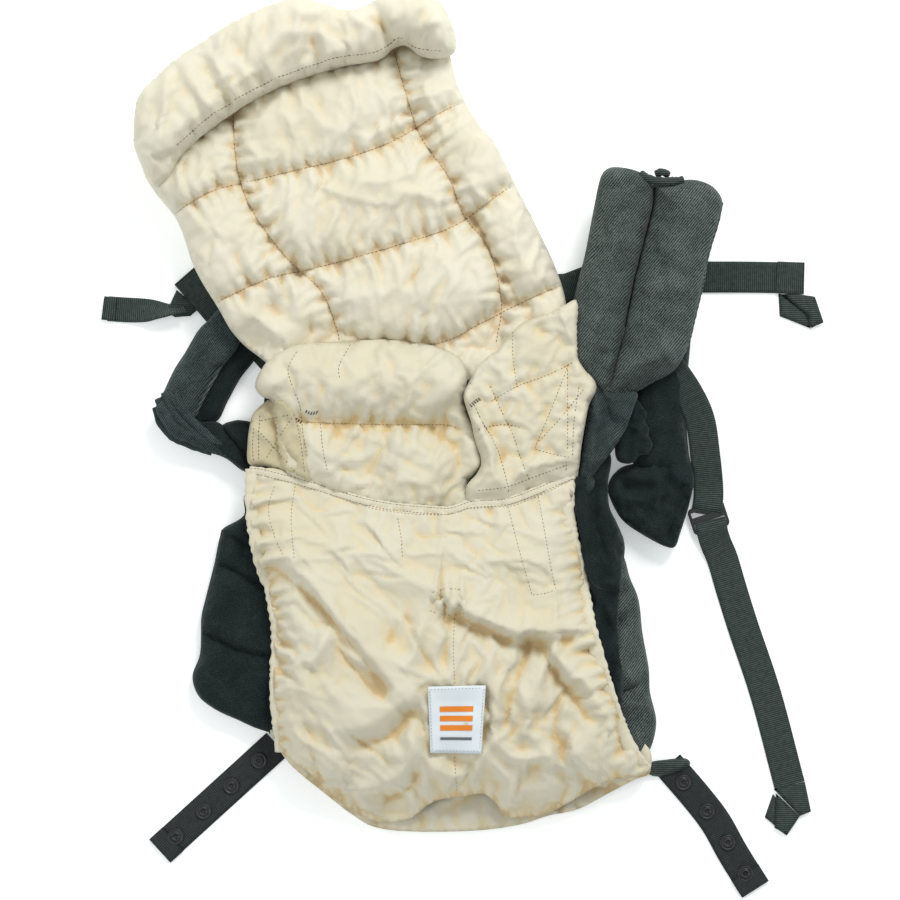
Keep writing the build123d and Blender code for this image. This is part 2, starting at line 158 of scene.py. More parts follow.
def creases(xy, area, count, angle, spread, length, height, width, seed):
    """Soft long wrinkles, ridges and valleys, strewn over a box (x0, x1, y0, y1) about one direction."""
    draw = random.Random(seed)
    z = np.zeros(len(xy))
    for _ in range(count):
        x = draw.uniform(area[0], area[1])
        y = draw.uniform(area[2], area[3])
        turn = math.radians(angle + draw.uniform(-spread, spread))
        half = draw.uniform(0.5, 1.0) * length / 2
        bend = draw.uniform(-0.5, 0.5) / length
        size = draw.uniform(0.6, 1.3) * width
        rise = draw.choice((-1.0, 1.0, 1.0)) * draw.uniform(0.4, 1.0) * height
        dx, dy = xy[:, 0] - x, xy[:, 1] - y
        u = dx * math.cos(turn) + dy * math.sin(turn)
        v = -dx * math.sin(turn) + dy * math.cos(turn) - bend * u ** 2
        taper = np.clip(1 - (u / half) ** 2, 0, 1) ** 1.5
        z += rise * taper * np.exp(-(np.abs(v) / np.where(v > 0, size, size * 0.6)) ** 1.4)
    return z


def crumple(xy, size, height, angle, stretch, seed):
    """Crushed cloth: a net of crisp ridges with flatter facets between them, drawn out along one direction."""
    turn = math.radians(angle)
    u = (xy[:, 0] * math.cos(turn) + xy[:, 1] * math.sin(turn)) / (size * stretch)
    v = (xy[:, 1] * math.cos(turn) - xy[:, 0] * math.sin(turn)) / size
    z = np.empty(len(xy))
    for i, (a, b) in enumerate(zip(u.tolist(), v.tolist())):
        shift = noise.noise((a * 0.5, b * 0.5, seed + 11)) * 1.3
        first = abs(noise.noise((a + shift, b - shift, seed)))
        second = abs(noise.noise((a * 1.7 - shift, b * 1.7 + shift, seed + 31)))
        z[i] = 0.7 * (1 - min(first / 0.45, 1.0)) + 0.3 * (1 - min(second / 0.45, 1.0))
    return height * (z - 0.45)


def straight_run(points, step=4.0):
    """Closed outline with extra points on its edges, so that its corners stay crisp."""
    out = []
    for a, b in zip(points, points[1:] + points[:1]):
        count = max(1, int(math.dist(a, b) / step))
        out += [(a[0] + (b[0] - a[0]) * t / count, a[1] + (b[1] - a[1]) * t / count) for t in range(count)]
    return out


def profile(y, line):
    """Height at y on a broken height line of (y, z)."""
    line = sorted(line)
    return np.interp(y, [p[0] for p in line], [p[1] for p in line])


# ---------------------------------------------------------------- meshes

def new_object(name, points, faces, material):
    """A smooth-shaded mesh object in the scene."""
    mesh = bpy.data.meshes.new(name)
    mesh.from_pydata([tuple(p) for p in points], [], faces)
    mesh.materials.append(material)
    mesh.update()
    mesh.shade_smooth()
    obj = bpy.data.objects.new(name, mesh)
    bpy.context.collection.objects.link(obj)
    return obj


def map_flat(obj, points):
    """Weave map in metres, straight from the layout, so the weave keeps its run over every fold."""
    layer = obj.data.uv_layers.new(name="weave")
    loops = np.zeros(len(obj.data.loops), int)
    obj.data.loops.foreach_get("vertex_index", loops)
    layer.data.foreach_set("uv", (np.asarray(points)[loops, :2] / 1000).ravel())


def cut_cloth(outline, seams=(), step=CLOTH_STEP):
    """Flat triangle mesh inside an outline, with edges along its seams."""
    loop = smooth_line(outline, step, closed=True)
    lines = [smooth_line(seam, step) for seam in seams]
    low, high = loop.min(axis=0), loop.max(axis=0)
    rows = np.arange(low[1], high[1], step * 0.866)
    grid = np.array([(x + (row % 2) * step / 2, y) for row, y in enumerate(rows)
                     for x in np.arange(low[0], high[0], step)])
    keep = inside(grid, loop) & (to_line(grid, loop, True)[0] > step * 0.6)
    points = [tuple(p) for p in loop]
    edges = [(i, (i + 1) % len(loop)) for i in range(len(loop))]
    for line in lines:
        within = inside(line, loop) & (to_line(line, loop, True)[0] > step * 0.5)
        line = line[within]
        if len(line) < 2:
            continue
        keep &= to_line(grid, line)[0] > step * 0.6
        first = len(points)
        points += [tuple(p) for p in line]
        edges += [(first + i, first + i + 1) for i in range(len(line) - 1)]
    points += [tuple(p) for p in grid[keep]]
    made = delaunay_2d_cdt([Vector(p) for p in points], edges, [list(range(len(loop)))], 1, 1e-5)
    xy = np.array([tuple(v) for v in made[0]])
    faces = []
    for face in made[2]:
        a, b, c = (xy[i] for i in face)
        turn = (b[0] - a[0]) * (c[1] - a[1]) - (b[1] - a[1]) * (c[0] - a[0])
        faces.append(tuple(face) if turn > 0 else tuple(reversed(face)))
    return xy, faces, loop, lines


def cushion(name, outline, top, bottom, material, seams=(), rim=14.0, rim_at=0.4, step=CLOTH_STEP, swell=None):
    """Closed padded piece: an upper and a lower face that meet in a rounded rim on the outline."""
    xy, faces, loop, lines = cut_cloth(outline, seams, step)
    edge = to_line(xy, loop, True)[0]
    on_rim = edge < 1e-3
    dome = np.sqrt(1 - (1 - np.clip(edge / rim, 0, 1)) ** 2)
    low = bottom(xy)
    high = np.maximum(top(xy), low + 2)
    middle = low + (high - low) * rim_at
    upper = np.column_stack([xy, middle + (high - middle) * dome])
    belly = np.sqrt(1 - (1 - np.clip(edge / (rim * 1.4), 0, 1)) ** 2)
    lower = np.column_stack([xy, middle - (middle - low) * belly])
    if swell:
        seam_gap = np.full(len(xy), 1e9)
        for line in lines:
            seam_gap = np.minimum(seam_gap, to_line(xy, line)[0])
        cloth = new_object(name + "_cloth", metres(upper), faces, material)
        inflate(cloth, on_rim | (seam_gap < 0.5), *swell)
        upper = (np.array([v.co for v in cloth.data.vertices]) - SHIFT) * 1000
        bpy.data.objects.remove(cloth)
    index = np.where(on_rim, np.arange(len(xy)), len(xy) + np.cumsum(~on_rim) - 1)
    points = np.vstack([upper, lower[~on_rim]])
    faces = faces + [tuple(index[i] for i in reversed(face)) for face in faces]
    obj = new_object(name, metres(points), faces, material)
    map_flat(obj, np.vstack([xy, xy[~on_rim]]))
    mark_fold_shade(obj)
    return obj


def mark_fold_shade(obj):
    """Stores how far each point lies below its smoothed surroundings, 0 to 1, for the painted shade laid into folds
    and hollows.
    """
    rounds, depth = (10, 45), (2.2, 5.0)
    z = np.array([v.co.z for v in obj.data.vertices]) * 1000
    edges = np.array([edge.vertices[:] for edge in obj.data.edges])
    count = np.bincount(edges.ravel(), minlength=len(z)).astype(float)
    smooth_z = z.copy()
    fold_shade = np.zeros(len(z))
    for step in range(1, rounds[-1] + 1):
        total = np.bincount(edges[:, 0], smooth_z[edges[:, 1]], len(z))
        total += np.bincount(edges[:, 1], smooth_z[edges[:, 0]], len(z))
        smooth_z = 0.4 * smooth_z + 0.6 * total / np.maximum(count, 1)
        if step in rounds:
            fold_shade += 0.6 * np.clip((smooth_z - z) / depth[rounds.index(step)], 0, 1)
    # Painted shade is kept to faces turned upwards.
    fold_shade *= np.clip([1.5 * v.normal.z for v in obj.data.vertices], 0, 1)
    mark = obj.data.attributes.new("crease", "FLOAT", "POINT")
    mark.data.foreach_set("value", np.clip(fold_shade, 0, 1).astype(np.float32))


def sheet_of_cloth(name, outline, top, material, held, swell, step=CLOTH_STEP):
    """Thin cloth with two faces, lying on the height that top gives."""
    xy, faces, loop, _ = cut_cloth(outline, (), step)
    obj = new_object(name, metres(np.column_stack([xy, top(xy)])), faces, material)
    map_flat(obj, xy)
    inflate(obj, held(xy, loop), *swell)
    mark_fold_shade(obj)
    thicken(obj, CLOTH_THICKNESS)
    return obj


def thicken(obj, thickness):
    """Gives a surface its lower face and its edge, thickness in mm, by an applied modifier."""
    solidify = obj.modifiers.new("thickness", "SOLIDIFY")
    solidify.thickness = thickness / 1000
    solidify.offset = -1
    bpy.context.view_layer.update()
    seen = obj.evaluated_get(bpy.context.evaluated_depsgraph_get())
    mesh = bpy.data.meshes.new_from_object(seen)
    obj.modifiers.clear()
    obj.data = mesh
    mesh.shade_smooth()


def inflate(obj, held, pressure, frames, cap, grow):
    """Cloth simulation of the free points: stuffing presses out, the cloth is a little too big, cap is in mm."""
    stiffness = 8.0
    rest = np.array([v.co for v in obj.data.vertices])
    group = obj.vertex_groups.new(name="held")
    group.add([int(i) for i in np.flatnonzero(held)], 1.0, "REPLACE")
    cloth = obj.modifiers.new("cloth", "CLOTH")
    settings = cloth.settings
    settings.quality = 6
    settings.mass = 0.15
    settings.tension_stiffness = stiffness
    settings.compression_stiffness = stiffness
    settings.shear_stiffness = stiffness / 2
    settings.bending_stiffness = 0.05
    settings.air_damping = 3
    settings.vertex_group_mass = "held"
    settings.use_pressure = True
    settings.uniform_pressure_force = pressure
    settings.shrink_min = -grow
    settings.effector_weights.gravity = 0
    cloth.collision_settings.use_collision = False
    cloth.point_cache.frame_start = 1
    cloth.point_cache.frame_end = frames
    scene = bpy.context.scene
    for number in range(1, frames + 1):
        scene.frame_set(number)
    seen = obj.evaluated_get(bpy.context.evaluated_depsgraph_get())
    moved = np.array([v.co for v in seen.data.vertices]) - rest
    far = np.linalg.norm(moved, axis=1)
    limit = cap / 1000
    moved *= (limit * np.tanh(far / limit) / np.maximum(far, 1e-9))[:, None]
    obj.modifiers.remove(cloth)
    obj.vertex_groups.remove(group)
    scene.frame_set(1)
    for vertex, point in zip(obj.data.vertices, rest + moved):
        vertex.co = point
    obj.data.update()


def webbing(name, path, width, material, thick=1.8):
    """Flat woven strap. The path is (x, y, z of its middle, twist in degrees)."""
    edge = 0.35
    line = smooth_line(path, 2.5)
    centre = line[:, :3]
    tangent = np.gradient(centre, axis=0)
    tangent /= np.linalg.norm(tangent, axis=1)[:, None]
    flat = np.cross([0, 0, 1], tangent)
    flat /= np.linalg.norm(flat, axis=1)[:, None]
    up = np.cross(tangent, flat)
    turn = np.radians(line[:, 3])[:, None]
    across = flat * np.cos(turn) + up * np.sin(turn)
    normal = np.cross(tangent, across)
    columns = [(u, 0.5) for u in np.linspace(-0.5 + edge / width, 0.5 - edge / width, 9)]
    columns += [(0.5, 0.0)] + [(-u, -0.5) for u, _ in columns] + [(-0.5, 0.0)]
    points, faces, uvs = [], [], []
    length = np.concatenate([[0], np.cumsum(np.linalg.norm(np.diff(centre, axis=0), axis=1))])
    ring = len(columns)
    for i in range(len(centre)):
        for u, v in columns:
            points.append(centre[i] + across[i] * u * width + normal[i] * v * thick)
    for i in range(len(centre) - 1):
        for j in range(ring):
            k = (j + 1) % ring
            faces.append((i * ring + j, i * ring + k, (i + 1) * ring + k, (i + 1) * ring + j))
            uvs.append([(columns[j][0] * width, length[i]), (columns[k][0] * width, length[i]),
                        (columns[k][0] * width, length[i + 1]), (columns[j][0] * width, length[i + 1])])
    for start in (0, (len(centre) - 1) * ring):
        cap = list(range(start, start + ring))
        faces.append(tuple(cap if start == 0 else reversed(cap)))
        uvs.append([(columns[j % ring][0] * width, length[0 if start == 0 else -1]) for j in
                    (range(ring) if start == 0 else reversed(range(ring)))])
    obj = new_object(name, metres(points), [tuple(reversed(f)) for f in faces], material)
    layer = obj.data.uv_layers.new(name="weave")
    flat_uv = [uv for quad in uvs for uv in reversed(quad)]
    layer.data.foreach_set("uv", np.array(flat_uv, float).ravel() / 1000)
    return obj


def rope(name, path, radius, material, bumps=0.0, pitch=7.0, sides=12, flatten=0.8, seed=0.0):
    """Soft round hem or piping along a path of (x, y, z), puckered when bumps is above 0."""
    line = smooth_line(path, 1.6)
    tangent = np.gradient(line, axis=0)
    tangent /= np.linalg.norm(tangent, axis=1)[:, None]
    flat = np.cross([0, 0, 1], tangent)
    flat /= np.linalg.norm(flat, axis=1)[:, None]
    up = np.cross(tangent, flat)
    length = np.concatenate([[0], np.cumsum(np.linalg.norm(np.diff(line, axis=0), axis=1))])
    points, faces = [], []
    for i in range(len(line)):
        drift = noise.noise((length[i] / 15, seed, 0))
        pucker = math.sin(2 * math.pi * (length[i] / pitch + drift))
        for j in range(sides):
            angle = 2 * math.pi * j / sides
            wobble = noise.noise((length[i] / 6, angle * 0.8, seed + 5))
            r = radius * (1 + bumps * (0.55 * pucker + 0.8 * wobble))
            points.append(line[i] + flat[i] * r * math.cos(angle) + up[i] * r * flatten * math.sin(angle))
    for i in range(len(line) - 1):
        for j in range(sides):
            k = (j + 1) % sides
            faces.append((i * sides + j, i * sides + k, (i + 1) * sides + k, (i + 1) * sides + j))
    faces.append(tuple(reversed(range(sides))))
    faces.append(tuple(range((len(line) - 1) * sides, len(line) * sides)))
    obj = new_object(name, metres(points), [tuple(reversed(f)) for f in faces], material)
    map_flat(obj, points)
    return obj


def surface_tree(*objects):
    """One search tree over several meshes."""
    points, faces = [], []
    for obj in objects:
        first = len(points)
        points += [v.co.copy() for v in obj.data.vertices]
        faces += [[first + i for i in polygon.vertices] for polygon in obj.data.polygons]
    return BVHTree.FromPolygons(points, faces)


def drop(tree, x, y):
    """Where a straight line down at a layout point meets the tree: spot and normal, or None twice."""
    return tree.ray_cast(Vector(place(x, y, ABOVE)), DOWN)[:2]


def stitching(name, lines, targets, material, stitch, gap, radius, offsets=(0.0,)):
    """Rows of raised thread stitches laid on the targets from above, each a small sunken bead."""
    tree = surface_tree(*targets)
    points, faces = [], []
    for line in lines:
        fine = smooth_line(line, 1.0)
        side = np.gradient(fine, axis=0)
        side = np.column_stack([-side[:, 1], side[:, 0]]) / np.maximum(np.linalg.norm(side, axis=1), 1e-9)[:, None]
        for offset in offsets:
            row = fine + side * offset
            length = np.concatenate([[0], np.cumsum(np.linalg.norm(np.diff(row, axis=0), axis=1))])
            for at in np.arange(0.5, length[-1] - stitch, stitch + gap):
                ends = [np.array([np.interp(s, length, row[:, k]) for k in (0, 1)]) for s in (at, at + stitch)]
                hits = [drop(tree, p[0], p[1]) for p in ends]
                if any(hit[0] is None for hit in hits):
                    continue
                a, b = hits[0][0], hits[1][0]
                if (b - a).length > 0.008:
                    continue
                add_bead(points, faces, a, b, (hits[0][1] + hits[1][1]).normalized(), radius / 1000)
    return new_object(name, points, faces, material)


def add_bead(points, faces, a, b, normal, radius):
    """One stitch from a to b: five-sided, fullest in its middle."""
    sides = 5
    axis = (b - a).normalized()
    side = axis.cross(normal).normalized()
    first = len(points)
    for t, size, lift in ((0.0, 0.35, -0.5), (0.3, 1.0, 0.25), (0.7, 1.0, 0.25), (1.0, 0.35, -0.5)):
        centre = a.lerp(b, t) + normal * radius * lift
        for k in range(sides):
            angle = 2 * math.pi * k / sides
            points.append(centre + (side * math.cos(angle) + normal * math.sin(angle)) * radius * size)
    for ring in range(3):
        for k in range(sides):
            m = (k + 1) % sides
            row = first + ring * sides
            faces.append((row + k, row + m, row + sides + m, row + sides + k))
    faces.append(tuple(first + k for k in reversed(range(sides))))
    faces.append(tuple(first + 3 * sides + k for k in range(sides)))


# ---------------------------------------------------------------- materials

def shader(name, colour, roughness, sheen=0.0, sheen_tint=None, specular=0.3):
    """A new principled material with its constants set: material, nodes, links, shader node."""
    material = bpy.data.materials.new(name)
    material.use_nodes = True
    nodes = material.node_tree.nodes
    principled = nodes["Principled BSDF"]
    principled.inputs["Base Color"].default_value = (*colour, 1)
    principled.inputs["Roughness"].default_value = roughness
    principled.inputs["Specular IOR Level"].default_value = specular
    principled.inputs["Sheen Weight"].default_value = sheen
    principled.inputs["Sheen Roughness"].default_value = 0.4
    if sheen_tint:
        principled.inputs["Sheen Tint"].default_value = (*sheen_tint, 1)
    return material, nodes, material.node_tree.links, principled


def node(nodes, kind, **values):
    """A new node with its inputs or properties set by name."""
    made = nodes.new(kind)
    for key, value in values.items():
        if key in made.inputs:
            made.inputs[key].default_value = value
        else:
            setattr(made, key, value)
    return made


def ramp(nodes, links, source, stops):
    """Colour ramp on a source socket, with stops of (position, colour)."""
    made = nodes.new("ShaderNodeValToRGB")
    elements = made.color_ramp.elements
    for element, (position, colour) in zip(elements, (stops[0], stops[-1])):
        element.position = position
        element.color = (*colour, 1)
    for position, colour in stops[1:-1]:
        elements.new(position).color = (*colour, 1)
    links.new(source, made.inputs["Fac"])
    return made


def bump_stack(nodes, links, principled, layers):
    """Chains bumps: each layer is (height socket, strength, distance in metres)."""
    last = None
    for height, strength, distance in layers:
        bump = nodes.new("ShaderNodeBump")
        bump.inputs["Strength"].default_value = strength
        bump.inputs["Distance"].default_value = distance
        links.new(height, bump.inputs["Height"])
        if last:
            links.new(last.outputs["Normal"], bump.inputs["Normal"])
        last = bump
    links.new(last.outputs["Normal"], principled.inputs["Normal"])


def wave(nodes, links, coordinates, direction, period, distortion=0.0):
    """Bands with a period in metres."""
    diagonal = direction == "DIAGONAL"
    scale = 2 * math.pi / (period * (10 * math.sqrt(2) if diagonal else 20))
    made = node(nodes, "ShaderNodeTexWave", bands_direction=direction, Scale=scale, Distortion=distortion)
    made.inputs["Detail Scale"].default_value = 2.0
    links.new(coordinates, made.inputs["Vector"])
    return made


def noise_node(nodes, links, coordinates, size, detail=3.0, distortion=0.0):
    """Noise with features of a size in metres."""
    made = node(nodes, "ShaderNodeTexNoise", Scale=1 / size, Detail=detail, Distortion=distortion)
    links.new(coordinates, made.inputs["Vector"])
    return made


def cotton(name, light, dark, wrinkle, fold):
    """Washed cotton sateen: uneven dye, painted warm shade in its folds, faint small wrinkles and a fine weave."""
    material, nodes, links, principled = shader(name, light, 0.8, 0.2, (1.0, 0.97, 0.9), 0.22)
    at = nodes.new("ShaderNodeTexCoord").outputs["Object"]
    patches = noise_node(nodes, links, at, 0.045, 4, 0.3)
    tone = ramp(nodes, links, patches.outputs["Fac"], [(0.3, dark), (0.62, light), (0.8, light)])
    # Painted shade: the crease attribute mixes a warm, darker colour into folds and hollows, darker still in the
    # deepest.
    mark = nodes.new("ShaderNodeAttribute")
    mark.attribute_name = "crease"
    fold_shade = ramp(nodes, links, mark.outputs["Fac"], [(0.05, (0, 0, 0)), (1.0, (0.8, 0.8, 0.8))])
    mixed = nodes.new("ShaderNodeMix")
    mixed.data_type = "RGBA"
    links.new(fold_shade.outputs["Color"], mixed.inputs["Factor"])
    links.new(tone.outputs["Color"], mixed.inputs["A"])
    inner = tuple(c * f for c, f in zip(fold, (0.84, 0.76, 0.66)))
    shade_colour = ramp(nodes, links, mark.outputs["Fac"], [(0.45, fold), (1.0, inner)])
    links.new(shade_colour.outputs["Color"], mixed.inputs["B"])
    links.new(mixed.outputs["Result"], principled.inputs["Base Color"])
    small = noise_node(nodes, links, at, 0.007, 3, 0.3)
    warp = wave(nodes, links, at, "X", 0.0008, 0.4)
    weft = wave(nodes, links, at, "Y", 0.0008, 0.4)
    bump_stack(nodes, links, principled, [
        (small.outputs["Fac"], wrinkle, 0.0016),
        (warp.outputs["Fac"], 0.2, 0.00012), (weft.outputs["Fac"], 0.2, 0.00012)])
    return material


def twill(name, dark, light, pitch, worn):
    """Washed dark cotton twill: broken diagonal ribs, pale fibres on the high threads and a slight fade."""
    material, nodes, links, principled = shader(name, dark, 0.95, 0.1, (0.8, 0.88, 0.88), 0.08)
    solid = nodes.new("ShaderNodeTexCoord").outputs["Object"]
    flat = nodes.new("ShaderNodeUVMap").outputs["UV"]
    turned = nodes.new("ShaderNodeMapping")
    turned.inputs["Rotation"].default_value = (0, 0, math.radians(84))
    links.new(flat, turned.inputs["Vector"])
    ribs = wave(nodes, links, turned.outputs["Vector"], "DIAGONAL", pitch, 2.2)
    ribs.inputs["Detail Scale"].default_value = 6.0
    fuzz = noise_node(nodes, links, solid, 0.0010, 5)
    fade = noise_node(nodes, links, solid, 0.018, 5, 0.6)
    high = node(nodes, "ShaderNodeMath", operation="MULTIPLY_ADD")
    links.new(ribs.outputs["Fac"], high.inputs[0])
    high.inputs[1].default_value = 0.45
    links.new(fuzz.outputs["Fac"], high.inputs[2])
    faded = node(nodes, "ShaderNodeMath", operation="MULTIPLY")
    evened = node(nodes, "ShaderNodeMath", operation="MULTIPLY_ADD")
    links.new(fade.outputs["Fac"], evened.inputs[0])
    evened.inputs[1].default_value = 0.3
    evened.inputs[2].default_value = 0.36
    links.new(high.outputs[0], faded.inputs[0])
    links.new(evened.outputs[0], faded.inputs[1])
    middle = tuple(d + (l - d) * 0.3 for d, l in zip(dark, light))
    tone = ramp(nodes, links, faded.outputs[0],
                [(0.24, dark), (0.38 - 0.04 * worn, middle), (0.60 - 0.12 * worn, light)])
    links.new(tone.outputs["Color"], principled.inputs["Base Color"])
    wrinkles = noise_node(nodes, links, solid, 0.011, 4, 0.5)
    bump_stack(nodes, links, principled, [
        (wrinkles.outputs["Fac"], 0.35, 0.003), (ribs.outputs["Fac"], 0.5, 0.0004),
        (fuzz.outputs["Fac"], 0.5, 0.0006)])
    return material


def woven_strap(name, dark, light):
    """Ribbed polypropylene webbing: cross ribs along its length, read from the strap's own weave map."""
    material, nodes, links, principled = shader(name, dark, 0.6, 0.08, (0.7, 0.75, 0.75), 0.3)
    at = nodes.new("ShaderNodeUVMap").outputs["UV"]
    cross = wave(nodes, links, at, "Y", 0.0016, 0.3)
    cords = wave(nodes, links, at, "X", 0.0022, 0.2)
    fuzz = noise_node(nodes, links, nodes.new("ShaderNodeTexCoord").outputs["Object"], 0.003, 4)
    mixed = node(nodes, "ShaderNodeMath", operation="MULTIPLY")
    links.new(cross.outputs["Fac"], mixed.inputs[0])
    links.new(fuzz.outputs["Fac"], mixed.inputs[1])
    tone = ramp(nodes, links, mixed.outputs[0], [(0.1, dark), (0.6, light)])
    links.new(tone.outputs["Color"], principled.inputs["Base Color"])
    bump_stack(nodes, links, principled, [(cross.outputs["Fac"], 0.7, 0.0005), (cords.outputs["Fac"], 0.3, 0.0002)])
    return material


def moulded(name, colour):
    """Black acetal: fine mould grain and scuffed gloss."""
    material, nodes, links, principled = shader(name, colour, 0.4, specular=0.5)
    at = nodes.new("ShaderNodeTexCoord").outputs["Object"]
    scuffs = noise_node(nodes, links, at, 0.006, 5, 1.0)
    gloss = ramp(nodes, links, scuffs.outputs["Fac"], [(0.3, (0.3, 0.3, 0.3)), (0.7, (0.55, 0.55, 0.55))])
    links.new(gloss.outputs["Color"], principled.inputs["Roughness"])
    grain = noise_node(nodes, links, at, 0.0006, 2)
    bump_stack(nodes, links, principled, [(grain.outputs["Fac"], 0.25, 0.00008)])
    return material


def thread(name, colour):
    """Twisted sewing thread."""
    material, nodes, links, principled = shader(name, colour, 0.6, 0.2)
    at = nodes.new("ShaderNodeTexCoord").outputs["Object"]
    twist = wave(nodes, links, at, "DIAGONAL", 0.0006, 1.0)
    tone = ramp(nodes, links, twist.outputs["Fac"], [(0.0, tuple(c * 0.7 for c in colour)), (1.0, colour)])
    links.new(tone.outputs["Color"], principled.inputs["Base Color"])
    bump_stack(nodes, links, principled, [(twist.outputs["Fac"], 0.5, 0.0001)])
    return material


def metal(name, colour):
    """Dark nickel, lightly brushed."""
    material, nodes, links, principled = shader(name, colour, 0.35)
    principled.inputs["Metallic"].default_value = 1.0
    at = nodes.new("ShaderNodeTexCoord").outputs["Object"]
    brushed = wave(nodes, links, at, "Y", 0.0003, 4.0)
    bump_stack(nodes, links, principled, [(brushed.outputs["Fac"], 0.2, 0.00005)])
    return material


# The last colour of each cotton is the painted shade laid into its folds.
CAMEL = cotton("camel_cotton", (0.63, 0.60, 0.48), (0.61, 0.565, 0.425), 0.25, (0.69, 0.555, 0.30))
SHADED = cotton("camel_patch", (0.53, 0.48, 0.33), (0.45, 0.40, 0.25), 0.3, (0.36, 0.28, 0.14))
QUILT = cotton("quilted_cotton", (0.68, 0.65, 0.535), (0.66, 0.615, 0.48), 0.25, (0.68, 0.57, 0.37))
CANVAS = twill("dark_canvas", (0.005, 0.009, 0.009), (0.032, 0.046, 0.045), 0.0014, 0.2)
WORN = twill("worn_canvas", (0.009, 0.017, 0.017), (0.080, 0.105, 0.102), 0.0015, 0.5)
# Lightest twill, for the right strap and edges; on the belt's right end it is painted light.
LIGHTER_TWILL = twill("lighter_canvas", (0.011, 0.018, 0.017), (0.135, 0.160, 0.150), 0.0017, 0.7)
STRAP = woven_strap("dark_webbing", (0.009, 0.018, 0.016), (0.055, 0.078, 0.069))
SNAP_TAPE = woven_strap("snap_tape", (0.006, 0.010, 0.010), (0.030, 0.040, 0.039))
PLASTIC = moulded("black_plastic", (0.012, 0.014, 0.015))
BROWN_THREAD = thread("brown_thread", (0.20, 0.12, 0.06))
TAN_THREAD = thread("tan_thread", (0.36, 0.25, 0.13))
BLACK_THREAD = thread("black_thread", (0.04, 0.042, 0.04))
WHITE_THREAD = thread("white_thread", (0.45, 0.5, 0.55))
LABEL = cotton("woven_label", (0.74, 0.80, 0.83), (0.68, 0.75, 0.79), 0.05, (0.6, 0.66, 0.7))
LABEL_MARK = cotton("label_mark", (0.80, 0.24, 0.03), (0.70, 0.20, 0.02), 0.05, (0.6, 0.16, 0.02))
LABEL_LINE = cotton("label_line", (0.16, 0.17, 0.18), (0.12, 0.13, 0.14), 0.05, (0.1, 0.1, 0.1))
NICKEL = metal("zip_metal", (0.3, 0.3, 0.31))


# ---------------------------------------------------------------- shared shapes

def puckers(xy, line, height, pitch, reach, seed=0.0):
    """Little gathers that run away from a seam on both sides of it, of uneven length."""
    d, along, side = to_line(xy, line)
    near = np.flatnonzero(d < reach * 3.5)
    z = np.zeros(len(xy))
    for i in near:
        a, s, g = along[i], side[i] * 3, d[i]
        lean = 0.25 * noise.noise((a / 40, s, seed + 3)) * g
        length = reach * (0.45 + 1.5 * abs(noise.noise((a / (pitch * 2), s, seed + 9))))
        ripple = noise.noise(((a + lean) / pitch, s, seed)) * 1.7
        z[i] = height * ripple * math.exp(-g / length) * (1 - math.exp(-g / 1.2))
    return z


def settle(obj, body, stands_for=()):
    """Gives a finished piece its body and the CAD nodes it stands for."""
    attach(obj, body)
    if stands_for:
        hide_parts(*stands_for)


def sew(body, slot, *seam):
    """Stitches, as stitching() takes them, on a body. The slot argument is not used."""
    settle(stitching(*seam), body)


def level(z):
    """A constant height."""
    return lambda xy: np.full(len(xy), float(z))


# ---------------------------------------------------------------- infant insert

ROLL_SEAM = [(-236, 217), (-223, 232), (-200, 252), (-171, 271), (-142, 286), (-100, 300), (-66, 306),
             (-48, 317), (-33, 309), (-12, 306)]
QUILT_SEAMS = [
    [(-230, 182), (-196, 201), (-152, 212), (-90, 227), (-55, 240), (-23, 259), (4, 274)],
    [(-200, 110), (-154, 131), (-112, 141), (-60, 155), (-11, 171), (14, 187), (40, 206)],
    [(-97, 81), (-23, 80), (14, 96), (48, 113), (80, 127)],
    [(-182, 265), (-177, 214), (-164, 182), (-139, 148), (-112, 122), (-100, 94), (-97, 81)],
    [(-54, 313), (-44, 276), (-33, 244), (-11, 212), (1, 182), (21, 155), (31, 113), (27, 81)],
]
CREASE = [(9, 182), (22, 155), (38, 126), (52, 100)]


